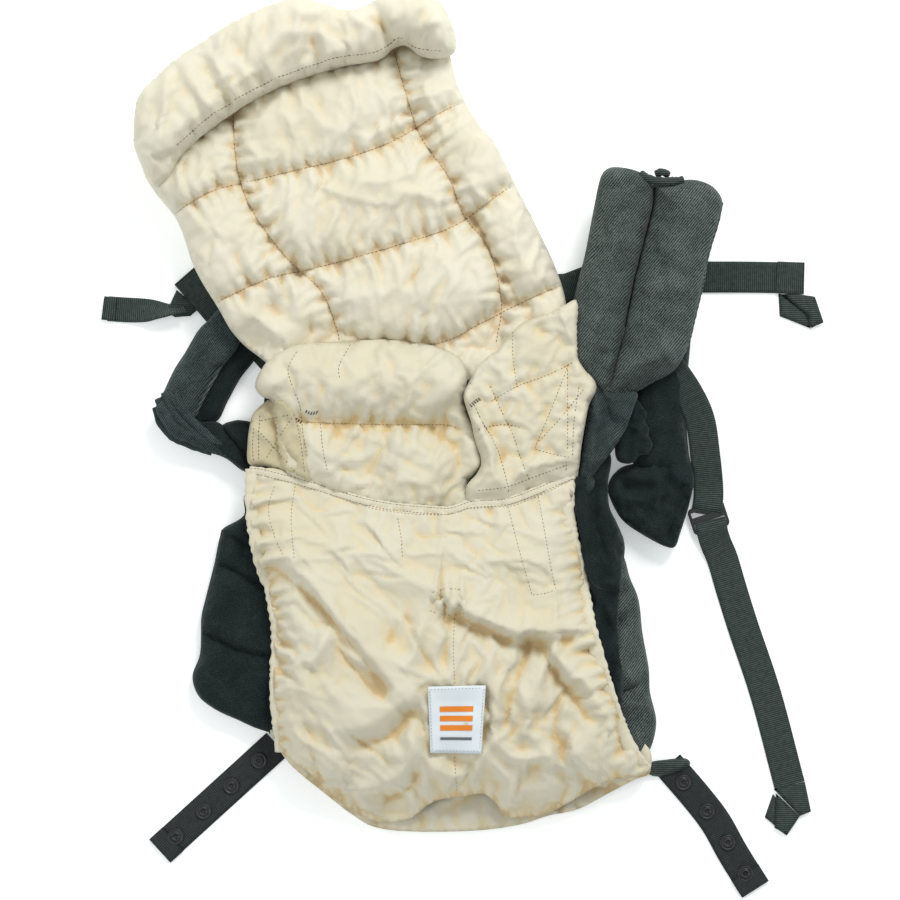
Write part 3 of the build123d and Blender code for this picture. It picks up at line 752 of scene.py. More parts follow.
def insert_quilt():
    """Quilted body of the infant insert."""
    outline = [(-250, 240), (-246, 262), (-215, 295), (-160, 330), (-100, 335), (-40, 345), (-16, 330), (-3, 285),
               (14, 254), (26, 240), (45, 202), (60, 172), (75, 138), (82, 112), (80, 84), (60, 56), (20, 50),
               (-60, 48), (-130, 52), (-164, 72), (-181, 88), (-193, 108), (-212, 140), (-226, 177), (-245, 202),
               (-254, 220)]
    seams = [smooth_line(seam, 4) for seam in QUILT_SEAMS]
    tucks = [([(-178, 244), (-168, 236), (-160, 226)], 3, 5, 5), ([(-90, 283), (-84, 262), (-92, 246)], 4, 6, 4),
             ([(-116, 206), (-92, 196), (-66, 190)], 3, 7, 4), ([(-40, 214), (-62, 206), (-84, 208)], 4, 5, 8),
             ([(-6, 190), (-30, 196), (-52, 200)], 4, 7, 4), ([(-52, 168), (-44, 146), (-50, 124)], 3, 6, 6),
             ([(-150, 110), (-136, 98), (-120, 92)], -5, 8, 8), ([(-168, 104), (-150, 92), (-140, 80)], 4, 8, 6),
             ([(-22, 150), (-10, 136), (-16, 112)], 3, 6, 6), ([(48, 190), (42, 166), (50, 140)], 4, 6, 6),
             ([(-30, 284), (-22, 262), (-12, 246)], 4, 6, 5), ([(-66, 276), (-58, 262), (-60, 248)], 3, 5, 5)]

    def top(xy):
        z = profile(xy[:, 1], [(40, 38), (78, 40), (92, 48), (120, 56), (280, 58), (360, 44)])
        for number, seam in enumerate(seams):
            d, _, _ = to_line(xy, seam)
            z -= 12 * np.exp(-(d / 9) ** 1.0)
            z += puckers(xy, seam, 9.0, 8.0, 13, number)
        z -= 18 * np.exp(-(to_line(xy, smooth_line(ROLL_SEAM, 4))[0] / 12))
        z += puckers(xy, smooth_line(ROLL_SEAM, 4), 8.0, 9.0, 14, 60)
        z -= 8 * np.exp(-(to_line(xy, smooth_line(CREASE, 4))[0] / 4) ** 1.3)
        z += folds(xy, tucks) + 1.8 * speckle(xy, 30, 3)
        z += creases(xy, (-240, 60, 60, 320), 130, 78, 30, 46, 3.4, 3.6, 5)
        return z + crumple(xy, 27, 4.4, 72, 2.0, 5.5) + crumple(xy, 13, 1.2, 60, 1.8, 8.5)

    def bottom(xy):
        return profile(xy[:, 1], [(40, 32), (112, 32), (150, 18), (176, 1.0), (420, 1.0)])

    quilt = cushion("insert_quilt", outline, top, bottom, QUILT, QUILT_SEAMS, rim=26, rim_at=0.35, step=2.5,
                    swell=(2.5, 14, 5, 0.05))
    settle(quilt, "insert", ["insert_quilt_cover", "insert_quilt_wadding"])
    sew("insert", "quilted_cotton", "insert_stitches", QUILT_SEAMS, [quilt], BROWN_THREAD, 2.6, 0.6, 0.34)


def insert_roll():
    """The insert's rolled-over head end."""
    outline = [(-259, 240), (-257, 272), (-243, 289), (-221, 307), (-171, 338), (-132, 353), (-112, 349), (-87, 343),
               (-60, 355), (-40, 358), (-20, 352), (-8, 332), (-5, 312), (-18, 305), (-33, 307), (-44, 315),
               (-55, 313), (-66, 304), (-100, 297), (-142, 283), (-171, 268), (-200, 248), (-222, 228), (-232, 211),
               (-244, 204), (-254, 222)]
    rolled = smooth_line([(-243, 240), (-222, 262), (-190, 288), (-140, 315), (-85, 325), (-45, 334), (-22, 330)], 4)
    tucks = [([(-74, 352), (-66, 338), (-60, 318)], -7, 5, 7), ([(-90, 344), (-84, 334), (-70, 326)], 4, 6, 4),
             ([(-56, 314), (-58, 324), (-70, 332)], -6, 5, 5), ([(-130, 291), (-128, 300), (-122, 306)], -4, 4, 4),
             ([(-183, 266), (-184, 276), (-182, 284)], -5, 3, 3), ([(-240, 212), (-232, 224), (-222, 232)], -5, 5, 5),
             ([(-40, 318), (-32, 326), (-22, 330)], 5, 6, 5), ([(-232, 240), (-214, 250), (-204, 262)], 3, 7, 7)]
    seam = smooth_line(ROLL_SEAM, 4)

    def top(xy):
        d, _, _ = to_line(xy, rolled)
        z = 83 - 0.005 * d ** 2
        z += puckers(xy, seam, 11.0, 11.0, 24, 7.0) + 1.4 * folds(xy, tucks)
        z += creases(xy, (-255, 0, 215, 350), 70, 65, 40, 50, 4.0, 4.0, 8)
        z += crumple(xy, 30, 8.0, 62, 1.8, 9.5) + crumple(xy, 13, 1.6, 60, 1.6, 3.5)
        return np.minimum(np.maximum(z, 56) + 2.0 * speckle(xy, 32, 9), 94)

    roll = cushion("insert_roll", outline, top, level(8), QUILT, rim=20, rim_at=0.52, step=2.6,
                   swell=(2.0, 14, 4, 0.05))
    roll_rows = [[(x - 1.5, y + 2.5) for x, y in ROLL_SEAM[1:]]]
    sew("insert", "quilted_cotton", "insert_roll_stitches", roll_rows, [roll], BROWN_THREAD, 2.6, 0.6, 0.34)
    settle(roll, "insert", ["insert_head_roll_cover", "insert_head_roll_wadding"])


# ---------------------------------------------------------------- top of the body

ROLL_STITCH = [(-124, 18), (-97, 17), (-56, 16), (-15, 16), (-2, 13)]


def body_top():
    """Padded roll across the top of the body, with the flat band below it."""
    outline = [(-164, 46), (-160, 58), (-151, 69), (-130, 80), (-97, 82), (-60, 84), (-24, 79), (-3, 70), (4, 56),
               (2, 36), (6, 22), (12, 6), (16, -16), (4, -32), (12, -50), (-22, -54), (-60, -50), (-98, -38),
               (-122, -30), (-140, -22), (-146, -4), (-148, 16), (-150, 34), (-158, 38)]
    seam = smooth_line(ROLL_STITCH, 4)
    tucks = [([(-150, 66), (-138, 60), (-132, 44), (-128, 22)], -3, 4, 4),
             ([(-24, 12), (-12, 4), (-4, -12)], -7, 7, 7),
             ([(0, 34), (-10, 26), (-14, 14)], -6, 6, 8), ([(-110, 8), (-104, -2), (-96, -10)], 3, 5, 5),
             ([(-52, 2), (-36, -4), (-18, -6)], 3, 6, 6), ([(-60, -24), (-40, -28), (-22, -26)], 3, 6, 5),
             ([(-92, 78), (-94, 58), (-96, 36)], -3, 3, 3), ([(-56, 80), (-52, 60), (-56, 40)], 3, 9, 9),
             ([(-20, 76), (-16, 62), (-12, 44)], 4, 7, 7), ([(-110, -16), (-96, -24), (-80, -30)], 3, 5, 5)]

    def top(xy):
        y = xy[:, 1]
        z = 44 + 16 * np.exp(-((y - 50) / 26) ** 2) + 5 * np.exp(-((y + 12) / 22) ** 2)
        d, _, _ = to_line(xy, seam)
        z -= 8 * np.exp(-(d / 7) ** 1.3)
        z += puckers(xy, seam, 5.0, 7.0, 13, 21) + folds(xy, tucks)
        z += puckers(xy, smooth_line([(-124, -26), (-80, -40), (-40, -46), (0, -47)], 4), 6.0, 7.0, 12, 22)
        z += creases(xy, (-150, 5, 20, 80), 36, 80, 35, 40, 2.0, 4.0, 23)
        z += creases(xy, (-125, 5, -45, 12), 40, -12, 30, 36, 2.2, 3.5, 24)
        z += crumple(xy, 22, 5.5, 62, 2.0, 13.5) + crumple(xy, 11, 1.8, -20, 1.6, 14.5)
        return np.minimum(z + 1.4 * speckle(xy, 20, 4), 63)

    piece = cushion("head_roll", outline, top, level(30), CAMEL, [ROLL_STITCH], rim=15, rim_at=0.3, step=2.7,
                    swell=(2.0, 14, 4, 0.05))
    settle(piece, "root", ["head_roll_cover", "head_roll_foam", "front_band", "body_lining"])
    rows = [ROLL_STITCH, [(-130, 74), (-137, 60), (-134, 47), (-128, 31), (-126, 12), (-122, -10)],
            [(-112, 18), (-110, -2), (-106, -22)], [(-88, 80), (-97, 62), (-96, 50)]]
    sew("root", "camel_cotton", "head_roll_stitches", rows, [piece], BROWN_THREAD, 2.2, 0.8, 0.27)
    tacks = [[(-124, 27), (-119, 25), (-113, 26)], [(-134, 22), (-129, 19), (-126, 17)]]
    sew("root", "camel_cotton", "head_roll_bartacks", tacks, [piece], BLACK_THREAD, 1.6, 0.5, 0.42, (-0.9, -0.1, 0.8))
    return piece


def left_corner(roll):
    """Left corner patch, laid over the roll, with its box stitching."""
    outline = [(-168, 17), (-166, 24), (-161, 30), (-151, 37), (-141, 36), (-134, 30), (-129, 20), (-125, 8),
               (-122, -8),
               (-118, -31), (-130, -26), (-142, -21), (-155, -17), (-169, -15), (-170, 2)]
    tree = surface_tree(roll)
    tucks = [([(-152, 34), (-150, 20), (-142, 4), (-134, -14)], -3, 3, 4),
             ([(-146, 30), (-142, 12), (-134, -8)], 3, 4, 3),
             ([(-160, 26), (-150, 22), (-142, 24)], 2, 4, 4)]

    def top(xy):
        z = np.interp(xy[:, 0], [-170, -140, -100], [38, 42, 44])
        hits = [drop(tree, x, y)[0] for x, y in xy]
        z = np.maximum(z, [hit.z * 1000 + 1.6 if hit else 0.0 for hit in hits])
        z += folds(xy, tucks) + creases(xy, (-166, -110, -28, 36), 26, -60, 30, 34, 2.0, 3.0, 25)
        return z + 0.6 * speckle(xy, 14, 6)

    piece = cushion("corner_patch_left", outline, top, level(28), SHADED, rim=4, rim_at=0.6, step=2.5,
                    swell=(0.8, 10, 1.0, 0.03))
    settle(piece, "root", ["left_corner_patch"])
    rows = [[(-165, 14), (-166, -2), (-165, -13)], [(-160, 24), (-161, 4), (-161, -13)],
            [(-162, 12), (-148, -3), (-132, -21)], [(-134, 22), (-146, 4), (-156, -12)],
            [(-160, 19), (-146, 22), (-134, 24)],
            [(-134, 28), (-130, 14), (-127, 0), (-124, -24)]]
    sew("root", "camel_cotton", "corner_stitches_left", rows, [piece], BLACK_THREAD, 2.0, 1.0, 0.26)


FLAP_SEAMS = [
    [(40, 90), (40, 70), (43, 46)], [(22, 34), (43, 46), (62, 53), (76, 59), (87, 65)],
    [(84, 64), (70, 28), (57, -3)], [(57, -3), (70, -7), (86, -10)], [(83, 60), (83, 24), (83, -6)],
    [(92, 46), (88, 18), (87, -10)], [(96, 44), (78, 22), (58, 0)],
    [(22, 47), (29, 31), (40, 8), (46, -10), (54, -30)],
    [(9, 32), (14, 22), (27, -2), (33, -20), (37, -38)], [(12, 26), (18, 14), (24, 6)], [(82, -12), (82, -22)],
    [(12, -36), (35, -33), (60, -24), (82, -16)], [(12, 12), (30, 16), (46, 14)],
]


def right_flap():
    """Right corner flap with its box stitching."""
    outline = [(1, 40), (6, 51), (14, 64), (22, 71), (30, 77), (40, 90), (50, 98), (68, 104), (80, 110), (92, 112),
               (92, 70), (106, 48), (100, 31), (97, 16), (94, -2), (92, -20), (88, -28), (58, -39), (36, -50),
               (8, -50), (3, -34), (12, -22), (15, -12), (10, 4), (7, 18), (3, 30)]
    tucks = [([(2, 40), (10, 26), (18, 6), (24, -14), (28, -34)], 6, 5, 7), ([(14, 62), (8, 48), (4, 36)], 5, 5, 6),
             ([(18, 30), (26, 12), (32, -8)], -4, 5, 5), ([(44, 66), (56, 76), (70, 84)], 3, 7, 6),
             ([(60, 92), (72, 84), (84, 76)], -4, 6, 6), ([(80, 100), (84, 88), (86, 74)], 4, 5, 5),
             ([(50, 40), (60, 30), (64, 14)], 2, 7, 7), ([(96, 44), (90, 36), (84, 22)], 3, 4, 4),
             ([(28, 60), (36, 52), (40, 40)], 3, 6, 6), ([(64, -14), (50, -18), (42, -28)], 3, 5, 5)]
    seams = [smooth_line(seam, 4) for seam in FLAP_SEAMS]

    def top(xy):
        z = np.interp(xy[:, 0], [0, 40, 90], [52, 55, 58]) + folds(xy, tucks)
        for number, seam in enumerate(seams):
            z -= 1.6 * np.exp(-(to_line(xy, seam)[0] / 3) ** 2)
            if number < 8:
                z += puckers(xy, seam, 1.8, 6.0, 9, number + 30)
        z += creases(xy, (2, 96, -46, 108), 50, 70, 40, 30, 1.8, 3.0, 26)
        z += crumple(xy, 20, 4.0, 65, 2.0, 15.5) + crumple(xy, 10, 1.5, 20, 1.6, 16.5)
        slope = 46 + 0.75 * (xy[:, 1] - np.interp(xy[:, 0], [8, 35, 58, 88], [-44, -42, -34, -21]))
        return np.minimum(np.minimum(z + 1.3 * speckle(xy, 22, 11), 66), np.maximum(slope, 40))

    piece = cushion("corner_flap_right", outline, top, level(38), CAMEL, FLAP_SEAMS[:4], rim=6, rim_at=0.5, step=2.5,
                    swell=(1.2, 14, 3, 0.05))
    settle(piece, "root", ["right_corner_flap"])
    sew("root", "camel_cotton", "flap_stitches", FLAP_SEAMS, [piece], BLACK_THREAD, 1.9, 1.0, 0.26)
    tack = [[(6, 30), (10, 34), (15, 37)]]
    sew("root", "camel_cotton", "flap_bartack", tack, [piece], BLACK_THREAD, 1.6, 0.5, 0.42, (-1.0, -0.1, 0.9))


# ---------------------------------------------------------------- hood

SEAM_UPPER = [(-168, -18), (-157, -19), (-119, -29), (-101, -35), (-80, -41), (-55, -46), (-21, -49), (-8, -49),
              (8, -44), (35, -42), (58, -34), (88, -21)]
SEAM_LOWER = [(-80, -46), (-71, -50), (-44, -54), (-14, -55), (1, -51), (24, -49), (40, -48), (65, -38), (88, -27)]
HOOD_LEFT = [(-168, -19), (-168, -54), (-164, -80), (-160, -98), (-154, -113), (-150, -133), (-148, -151),
             (-149, -175),
             (-149, -199), (-148, -215), (-146, -230), (-145, -243)]
HOOD_RIGHT = [(86, -24), (86, -54), (89, -74), (95, -99), (99, -123), (103, -145), (111, -173), (118, -197),
              (127, -222), (135, -240), (148, -259)]
FRONT_HEM = [(-145, -243), (-123, -258), (-101, -281), (-78, -297), (-60, -301), (-42, -298), (-28, -287),
             (-18, -282),
             (-3, -280), (16, -277), (26, -284), (34, -295), (47, -297), (69, -293), (92, -280), (115, -267),
             (148, -259)]
BACK_HEM = [(-146, -240), (-135, -256), (-112, -276), (-85, -297), (-67, -306), (-35, -309), (13, -308), (47, -303),
            (69, -296), (92, -291), (115, -279), (137, -267), (150, -260)]
HOOD_FOLDS = [
    ([(-152, -88), (-124, -106), (-104, -129), (-81, -154), (-66, -172), (-52, -192)], 11, 13, 7),
    ([(-146, -100), (-120, -120), (-96, -146), (-76, -170), (-60, -192)], -7, 5, 9),
    ([(-140, -74), (-110, -78), (-76, -88), (-46, -104), (-19, -120)], 7, 14, 8),
    ([(-6, -124), (14, -134), (40, -144), (70, -146)], 9, 16, 6),
    ([(-4, -136), (20, -148), (48, -158), (78, -154)], -8, 6, 9),
    ([(44, -150), (38, -170), (28, -190), (24, -212)], 8, 8, 5),
    ([(52, -156), (47, -176), (40, -196), (36, -216)], -6, 5, 6),
    ([(66, -152), (80, -172), (99, -188), (110, -206), (118, -222)], 7, 6, 8),
    ([(62, -160), (72, -180), (86, -198), (98, -216)], -7, 7, 6),
    ([(-35, -146), (-38, -161), (-46, -174)], 6, 6, 5),
    ([(-109, -152), (-116, -166), (-129, -172)], 7, 7, 5),
    ([(-112, -158), (-122, -184), (-120, -214)], 5, 8, 7),
    ([(-88, -222), (-70, -216), (-42, -196)], 8, 12, 9),
    ([(-78, -238), (-56, -230), (-40, -212)], -5, 8, 8),
    ([(-80, -273), (-60, -266), (-44, -254), (-41, -238)], 6, 8, 5),
    ([(-58, -282), (-42, -274), (-36, -262)], -5, 6, 6),
    ([(26, -234), (44, -247), (67, -245)], 7, 7, 6),
    ([(22, -250), (34, -262), (38, -282)], 6, 8, 6),
    ([(60, -232), (68, -250), (64, -272)], 6, 7, 7),
    ([(84, -226), (92, -246), (100, -256)], 6, 6, 6),
    ([(44, -190), (52, -208), (50, -226)], 6, 6, 5),
    ([(76, -206), (74, -222), (78, -240)], -5, 6, 6),
    ([(-16, -150), (-22, -164), (-18, -182)], 4, 5, 5),
    ([(12, -156), (20, -172), (14, -186)], 5, 6, 5),
    ([(10, -196), (22, -214), (16, -232)], -6, 5, 7),
    ([(-100, -196), (-84, -206), (-60, -204)], 4, 7, 7),
    ([(-136, -214), (-124, -234), (-104, -256)], 6, 9, 8),
    ([(-20, -256), (-4, -262), (10, -258)], 4, 8, 8),
    ([(60, -92), (40, -88), (20, -92)], 3, 8, 8),
    ([(-118, -50), (-100, -62), (-96, -80)], 3, 7, 7),
    ([(-60, -70), (-40, -80), (-16, -84)], 3, 9, 9),
]
HOOD_HEIGHT = [(-10, 41), (-30, 43.5), (-46, 46), (-60, 51), (-90, 57), (-150, 60), (-205, 57), (-245, 46),
               (-270, 31),
               (-292, 15), (-312, 6)]
HOOD_REST = [(-80, -100), (0, -90), (60, -100), (-100, -180), (-5, -215), (60, -190), (-60, -240), (80, -230)]
CROWN_GATHER = [(-26, -122), (-10, -124), (4, -122)]


def hood_height(xy):
    """Upper face of the hood: over the belt in the middle, falling at both sides and to the hem."""
    x, y = xy[:, 0], xy[:, 1]
    z = profile(y, HOOD_HEIGHT)
    left = to_line(xy, smooth_line(HOOD_LEFT, 5))[0]
    right = to_line(xy, smooth_line(HOOD_RIGHT, 5))[0]
    low = np.clip((-40 - y) / 60, 0, 1)
    z -= 24 * low * np.exp(-(left / 16) ** 1.4) + 20 * low * np.exp(-(right / 15) ** 1.4)
    z += folds(xy, HOOD_FOLDS) * np.clip((-42 - y) / 75, 0.25, 1.35)
    z += (puckers(xy, smooth_line(HOOD_LEFT, 4), 11.0, 8.0, 14, 2)
          + puckers(xy, smooth_line(HOOD_RIGHT, 4), 12.0, 8.0, 15, 3))
    z += puckers(xy, smooth_line(SEAM_LOWER, 4), 3.5, 9.0, 13, 4)
    z += puckers(xy, CROWN_GATHER, 9.0, 5.0, 12, 5)
    below = np.clip((-95 - y) / 30, 0, 1)
    z += below * creases(xy, (-150, -30, -280, -100), 40, -52, 24, 80, 4.5, 3.6, 31)
    z += below * creases(xy, (0, 125, -285, -130), 54, 72, 26, 62, 4.2, 3.6, 32)
    z += below * creases(xy, (-70, 40, -285, -130), 36, 95, 40, 46, 3.5, 3.6, 33)
    z += creases(xy, (-150, 85, -110, -45), 50, -22, 30, 50, 2.6, 3.6, 34)
    strength = (0.3 + 0.7 * np.clip((-115 - y) / 35, 0, 1)) * np.clip((y + 300) / 30, 0.4, 1)
    lean = np.clip((x + 150) / 280, 0, 1)
    z += strength * (1 - lean) * crumple(xy, 46, 11.0, -48, 2.3, 18.5)
    z += strength * lean * crumple(xy, 40, 13.0, 76, 2.2, 19.5)
    z += strength * crumple(xy, 20, 2.0, -30, 1.8, 20.5)
    z -= 5 * np.exp(-(x + 172) / 26) * np.clip((y + 80) / 30, 0, 1)
    rounding = 4.5
    ceiling = profile(y, HOOD_HEIGHT) + 12
    z = ceiling - rounding * np.log1p(np.exp((ceiling - z) / rounding))
    floor = profile(y, [(-40, 38), (-60, 33), (-225, 33), (-252, 25), (-276, 9), (-330, 5)])
    return np.maximum(z + 1.2 * speckle(xy, 18, 15), floor)


def hood():
    """Hood with its facing, hems, stitches and label; the lining side shows under the front hem."""
    outline = HOOD_LEFT[1:] + FRONT_HEM[1:-1] + HOOD_RIGHT[::-1] + SEAM_UPPER[::-1][1:-1]
    centre_top = [(-6, -136), (-7, -160), (-6, -188)]
    centre_low = [(-6, -246), (-5, -264), (-4, -276)]

    def held(xy, loop):
        grip = to_line(xy, loop, True)[0] < 1.0
        grip |= to_line(xy, smooth_line(SEAM_LOWER, 4))[0] < 2.5
        for x, y in HOOD_REST:
            grip |= np.hypot(xy[:, 0] - x, xy[:, 1] - y) < 5
        return grip

    front = sheet_of_cloth("hood_front", outline, hood_height, CAMEL, held=held, step=2.3,
                           swell=(0.4, 14, 3.0, 0.05))
    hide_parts("hood_outer", "hood_facing_band")
    rows = [SEAM_UPPER, SEAM_LOWER, centre_top, centre_low, [(-148, -32), (-153, -50), (-148, -72), (-139, -91)],
            [(-132, -32), (-135, -57), (-132, -91)], [(36, -48), (47, -91), (55, -118)],
            [(60, -40), (70, -97), (74, -114)],
            [(55, -118), (64, -117), (74, -114)], [(-51, -57), (-48, -74), (-47, -91)],
            [(-24, -116), (-12, -113), (4, -114)],
            [(-26, -130), (-12, -134), (4, -132)]]
    stitches = stitching("hood_stitches", rows, [front], TAN_THREAD, 2.0, 0.9, 0.28)
    blends = [front, stitches]

    back_outline = [(-146, -226), (-146, -240)] + BACK_HEM[1:] + [(140, -236), (60, -246), (-60, -250)]

    def back_top(xy):
        z = profile(xy[:, 1], [(-220, 26), (-252, 20), (-275, 10), (-310, 4)])
        z += 3 * puckers(xy, smooth_line(BACK_HEM, 4), 1.0, 8.0, 12, 40)
        return np.maximum(z + 1.5 * speckle(xy, 14, 41), 3)

    def back_held(xy, loop):
        return to_line(xy, loop, True)[0] < 1

    back = sheet_of_cloth("hood_back", back_outline, back_top, CAMEL, held=back_held,
                          swell=(0.5, 14, 4, 0.05))
    settle(back, "hood",
           ["hood_lining", "hood_left_elastic", "hood_right_elastic", "hood_crown_elastic"])

    tree = surface_tree(front)

    def on_hood(line, lift):
        path = []
        for x, y in line:
            hit = drop(tree, x, y)[0]
            z = hit.z * 1000 if hit else float(hood_height(np.array([[x, y]]))[0])
            path.append((x, y, z + lift))
        return path

    for side, line, inwards in (("left", HOOD_LEFT, 2.0), ("right", HOOD_RIGHT, -2.0)):
        path = [(x + inwards, y, float(z)) for (x, y), z in zip(line, hood_height(np.array(line, float)))]
        hem = rope(f"hood_hem_{side}", [(x, y, max(z - 2, 4)) for x, y, z in path], 5.4, CAMEL, 0.16, 8.0, 14, 0.6,
                   50)
        blends.append(hem)
    band_line = smooth_line(SEAM_UPPER, 6)
    band = rope("hood_seam_band", on_hood([(x, y - 2.6) for x, y in band_line], -0.6), 3.6, CAMEL, 0.14, 7, 14, 0.5,
                60)
    band_rows = [[(x, y - 0.6) for x, y in SEAM_UPPER], [(x, y - 5.4) for x, y in SEAM_UPPER]]
    sew("root", "camel_cotton", "hood_band_stitches", band_rows, [front, band], BROWN_THREAD, 2.0, 0.7, 0.28)
    settle(band, "root")

    for piece in blends:
        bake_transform(piece)

    label_sheet(front)


def label_sheet(hood_cloth):
    """Plain woven label, sewn on flat, with a generic striped mark and a stitched border."""
    tree = surface_tree(hood_cloth)
    corners = [np.array(p, float) for p in ((-27, -190), (18.5, -189), (15, -243.5), (-25, -243))]

    def spot(u, v):
        return (1 - v) * ((1 - u) * corners[0] + u * corners[1]) + v * ((1 - u) * corners[3] + u * corners[2])

    around = (-6, -3, 0, 3, 6)
    bed = np.zeros((5, 5))
    for j in range(5):
        for i in range(5):
            x, y = spot(i / 4, j / 4)
            hits = [drop(tree, x + a, y + b)[0] for a in around for b in around]
            bed[j, i] = np.percentile([hit.z for hit in hits if hit], 92)

    def bed_height(u, v):
        rows_at = [np.interp(u * 4, range(5), row) for row in bed]
        return float(np.interp(v * 4, range(5), rows_at))

    def grid(u_low, u_high, v_low, v_high, lift, columns=14, rows=16):
        points, faces = [], []
        for j in range(rows + 1):
            for i in range(columns + 1):
                u = u_low + (u_high - u_low) * i / columns
                v = v_low + (v_high - v_low) * j / rows
                x, y = spot(u, v)
                points.append(Vector(place(x, y)) + Vector((0, 0, bed_height(u, v) + lift / 1000)))
        for j in range(rows):
            for i in range(columns):
                a = j * (columns + 1) + i
                faces.append((a, a + columns + 1, a + columns + 2, a + 1))
        return points, faces

    points, faces = grid(0, 1, 0, 1, 1.0)
    label = new_object("hood_label_cloth", points, faces, LABEL)
    thicken(label, LABEL_THICKNESS)
    settle(label, "hood", ["hood_label"])
    for number, (low, high) in enumerate(((0.30, 0.38), (0.44, 0.52), (0.58, 0.66))):
        points, faces = grid(0.2, 0.8, low, high, 1.45, 14, 3)
        stripe = new_object(f"label_stripe_{number + 1}", points, faces, LABEL_MARK)
        settle(stripe, "hood")
    points, faces = grid(0.2, 0.8, 0.76, 0.80, 1.45, 14, 2)
    settle(new_object("label_line", points, faces, LABEL_LINE), "hood")
    border = [tuple(c) for c in corners]
    middle = sum(corners) / 4
    inner = [tuple(middle + (np.array(c) - middle) * 0.93) for c in border]
    rows = [[inner[i], inner[(i + 1) % 4]] for i in range(4)]
    sew("hood", "woven_label", "label_stitches", rows, [label], WHITE_THREAD, 1.8, 0.9, 0.28)


# ---------------------------------------------------------------- belt and body

def belt():
    """Waist belt under the hood, its padded ends showing on both sides."""
    outline = [(-172, -39), (-174, -56), (-190, -66), (-193, -72), (-198, -96), (-204, -120), (-208, -138),
               (-209, -166),
               (-215, -184), (-211, -199), (-200, -209), (-182, -218), (-146, -231), (-60, -242), (60, -246),
               (132, -253),
               (148, -246), (155, -222), (150, -197), (149, -178), (144, -150), (141, -124), (134, -106), (126, -84),
               (100, -62), (40, -52), (-60, -50), (-140, -42)]
    seams = [[(-192, -70), (-164, -80), (-130, -84)], [(-198, -92), (-182, -100), (-160, -110), (-130, -114)],
             [(-208, -148), (-186, -160), (-164, -167), (-130, -172)], [(96, -124), (119, -121), (134, -112)],
             [(98, -145), (124, -141), (141, -129)], [(110, -199), (134, -194), (151, -182)]]
    lines = [smooth_line(seam, 4) for seam in seams]
    tucks = [([(-178, -60), (-172, -74), (-160, -84)], 3, 6, 6),
             ([(-200, -170), (-182, -186), (-166, -196)], 3, 9, 9),
             ([(118, -90), (112, -104), (116, -120)], 3, 6, 6), ([(130, -150), (126, -168), (132, -186)], 3, 7, 7)]

    def top(xy):
        z = np.full(len(xy), 23.5) + folds(xy, tucks)
        for number, line in enumerate(lines):
            z -= 7.0 * np.exp(-(to_line(xy, line)[0] / 2.6) ** 1.2)
            z += puckers(xy, line, 3.0, 9, 10, number + 70)
        return z + 0.8 * speckle(xy, 24, 19) + crumple(xy, 22, 2.2, 10, 1.6, 21.5)

    piece = cushion("belt", outline, top, level(0.6), CANVAS, seams, rim=13, rim_at=0.42, step=2.8,
                    swell=(2.0, 14, 3, 0.02))
    # Painted light: the belt's right end takes the lighter twill, brighter where the light from the right falls.
    piece.data.materials.append(LIGHTER_TWILL)
    for face in piece.data.polygons:
        face.material_index = int(face.center.x > place(80, 0)[0])
    settle(piece, "root", ["waist_belt_cover", "waist_belt_foam"])
    sew("root", "dark_canvas", "belt_stitches", seams, [piece], BLACK_THREAD, 2.2, 0.9, 0.28)


def body_side():
    """Back panel of the body: its crumpled right side shows beside the hood."""
    outline = [(-146, 62), (-158, 30), (-164, -20), (-152, -60), (-146, -140), (-142, -222), (-60, -232), (60, -238),
               (118, -236), (128, -190), (124, -140), (128, -96), (129, -78), (123, -62), (117, -49), (116, -30),
               (118, -8),
               (104, 10), (94, 60), (84, 96), (40, 74), (-60, 68)]
    tucks = [([(96, -30), (94, -60), (98, -92), (104, -112)], 8, 6, 6),
             ([(108, -34), (106, -58), (112, -84)], -6, 5, 5),
             ([(118, -56), (120, -74), (116, -96)], 6, 6, 6), ([(104, -96), (112, -108), (124, -112)], 5, 5, 5),
             ([(96, -110), (104, -128), (112, -140)], -4, 5, 5), ([(90, -60), (92, -84), (96, -110)], -4, 4, 4)]

    def top(xy):
        x, y = xy[:, 0], xy[:, 1]
        z = np.interp(x, [-160, 80, 130], [30, 32, 30]) + 7 * np.exp(-((y + 60) / 40) ** 2) * (x > 80)
        z += folds(xy, tucks) + crumple(xy, 20, 10.0, 100, 1.8, 22.5) * (x > 70)
        hem = np.array(HOOD_RIGHT[:9])
        edge = np.interp(-y, -hem[:, 1], hem[:, 0])
        return np.where((x < edge) & (y < -18), np.minimum(z, 30), z)

    piece = cushion("body_panel", outline, top, level(22.5), CANVAS, rim=9, rim_at=0.35, step=3.0,
                    swell=(0.8, 14, 3, 0.03))
    settle(piece, "root", ["body_panel_cover"])
    rows = [[(97, -96), (106, -112), (124, -116)], [(100, -34), (104, -22), (112, -16)]]
    sew("root", "dark_canvas", "body_panel_stitches", rows, [piece], BLACK_THREAD, 2.2, 0.9, 0.28)


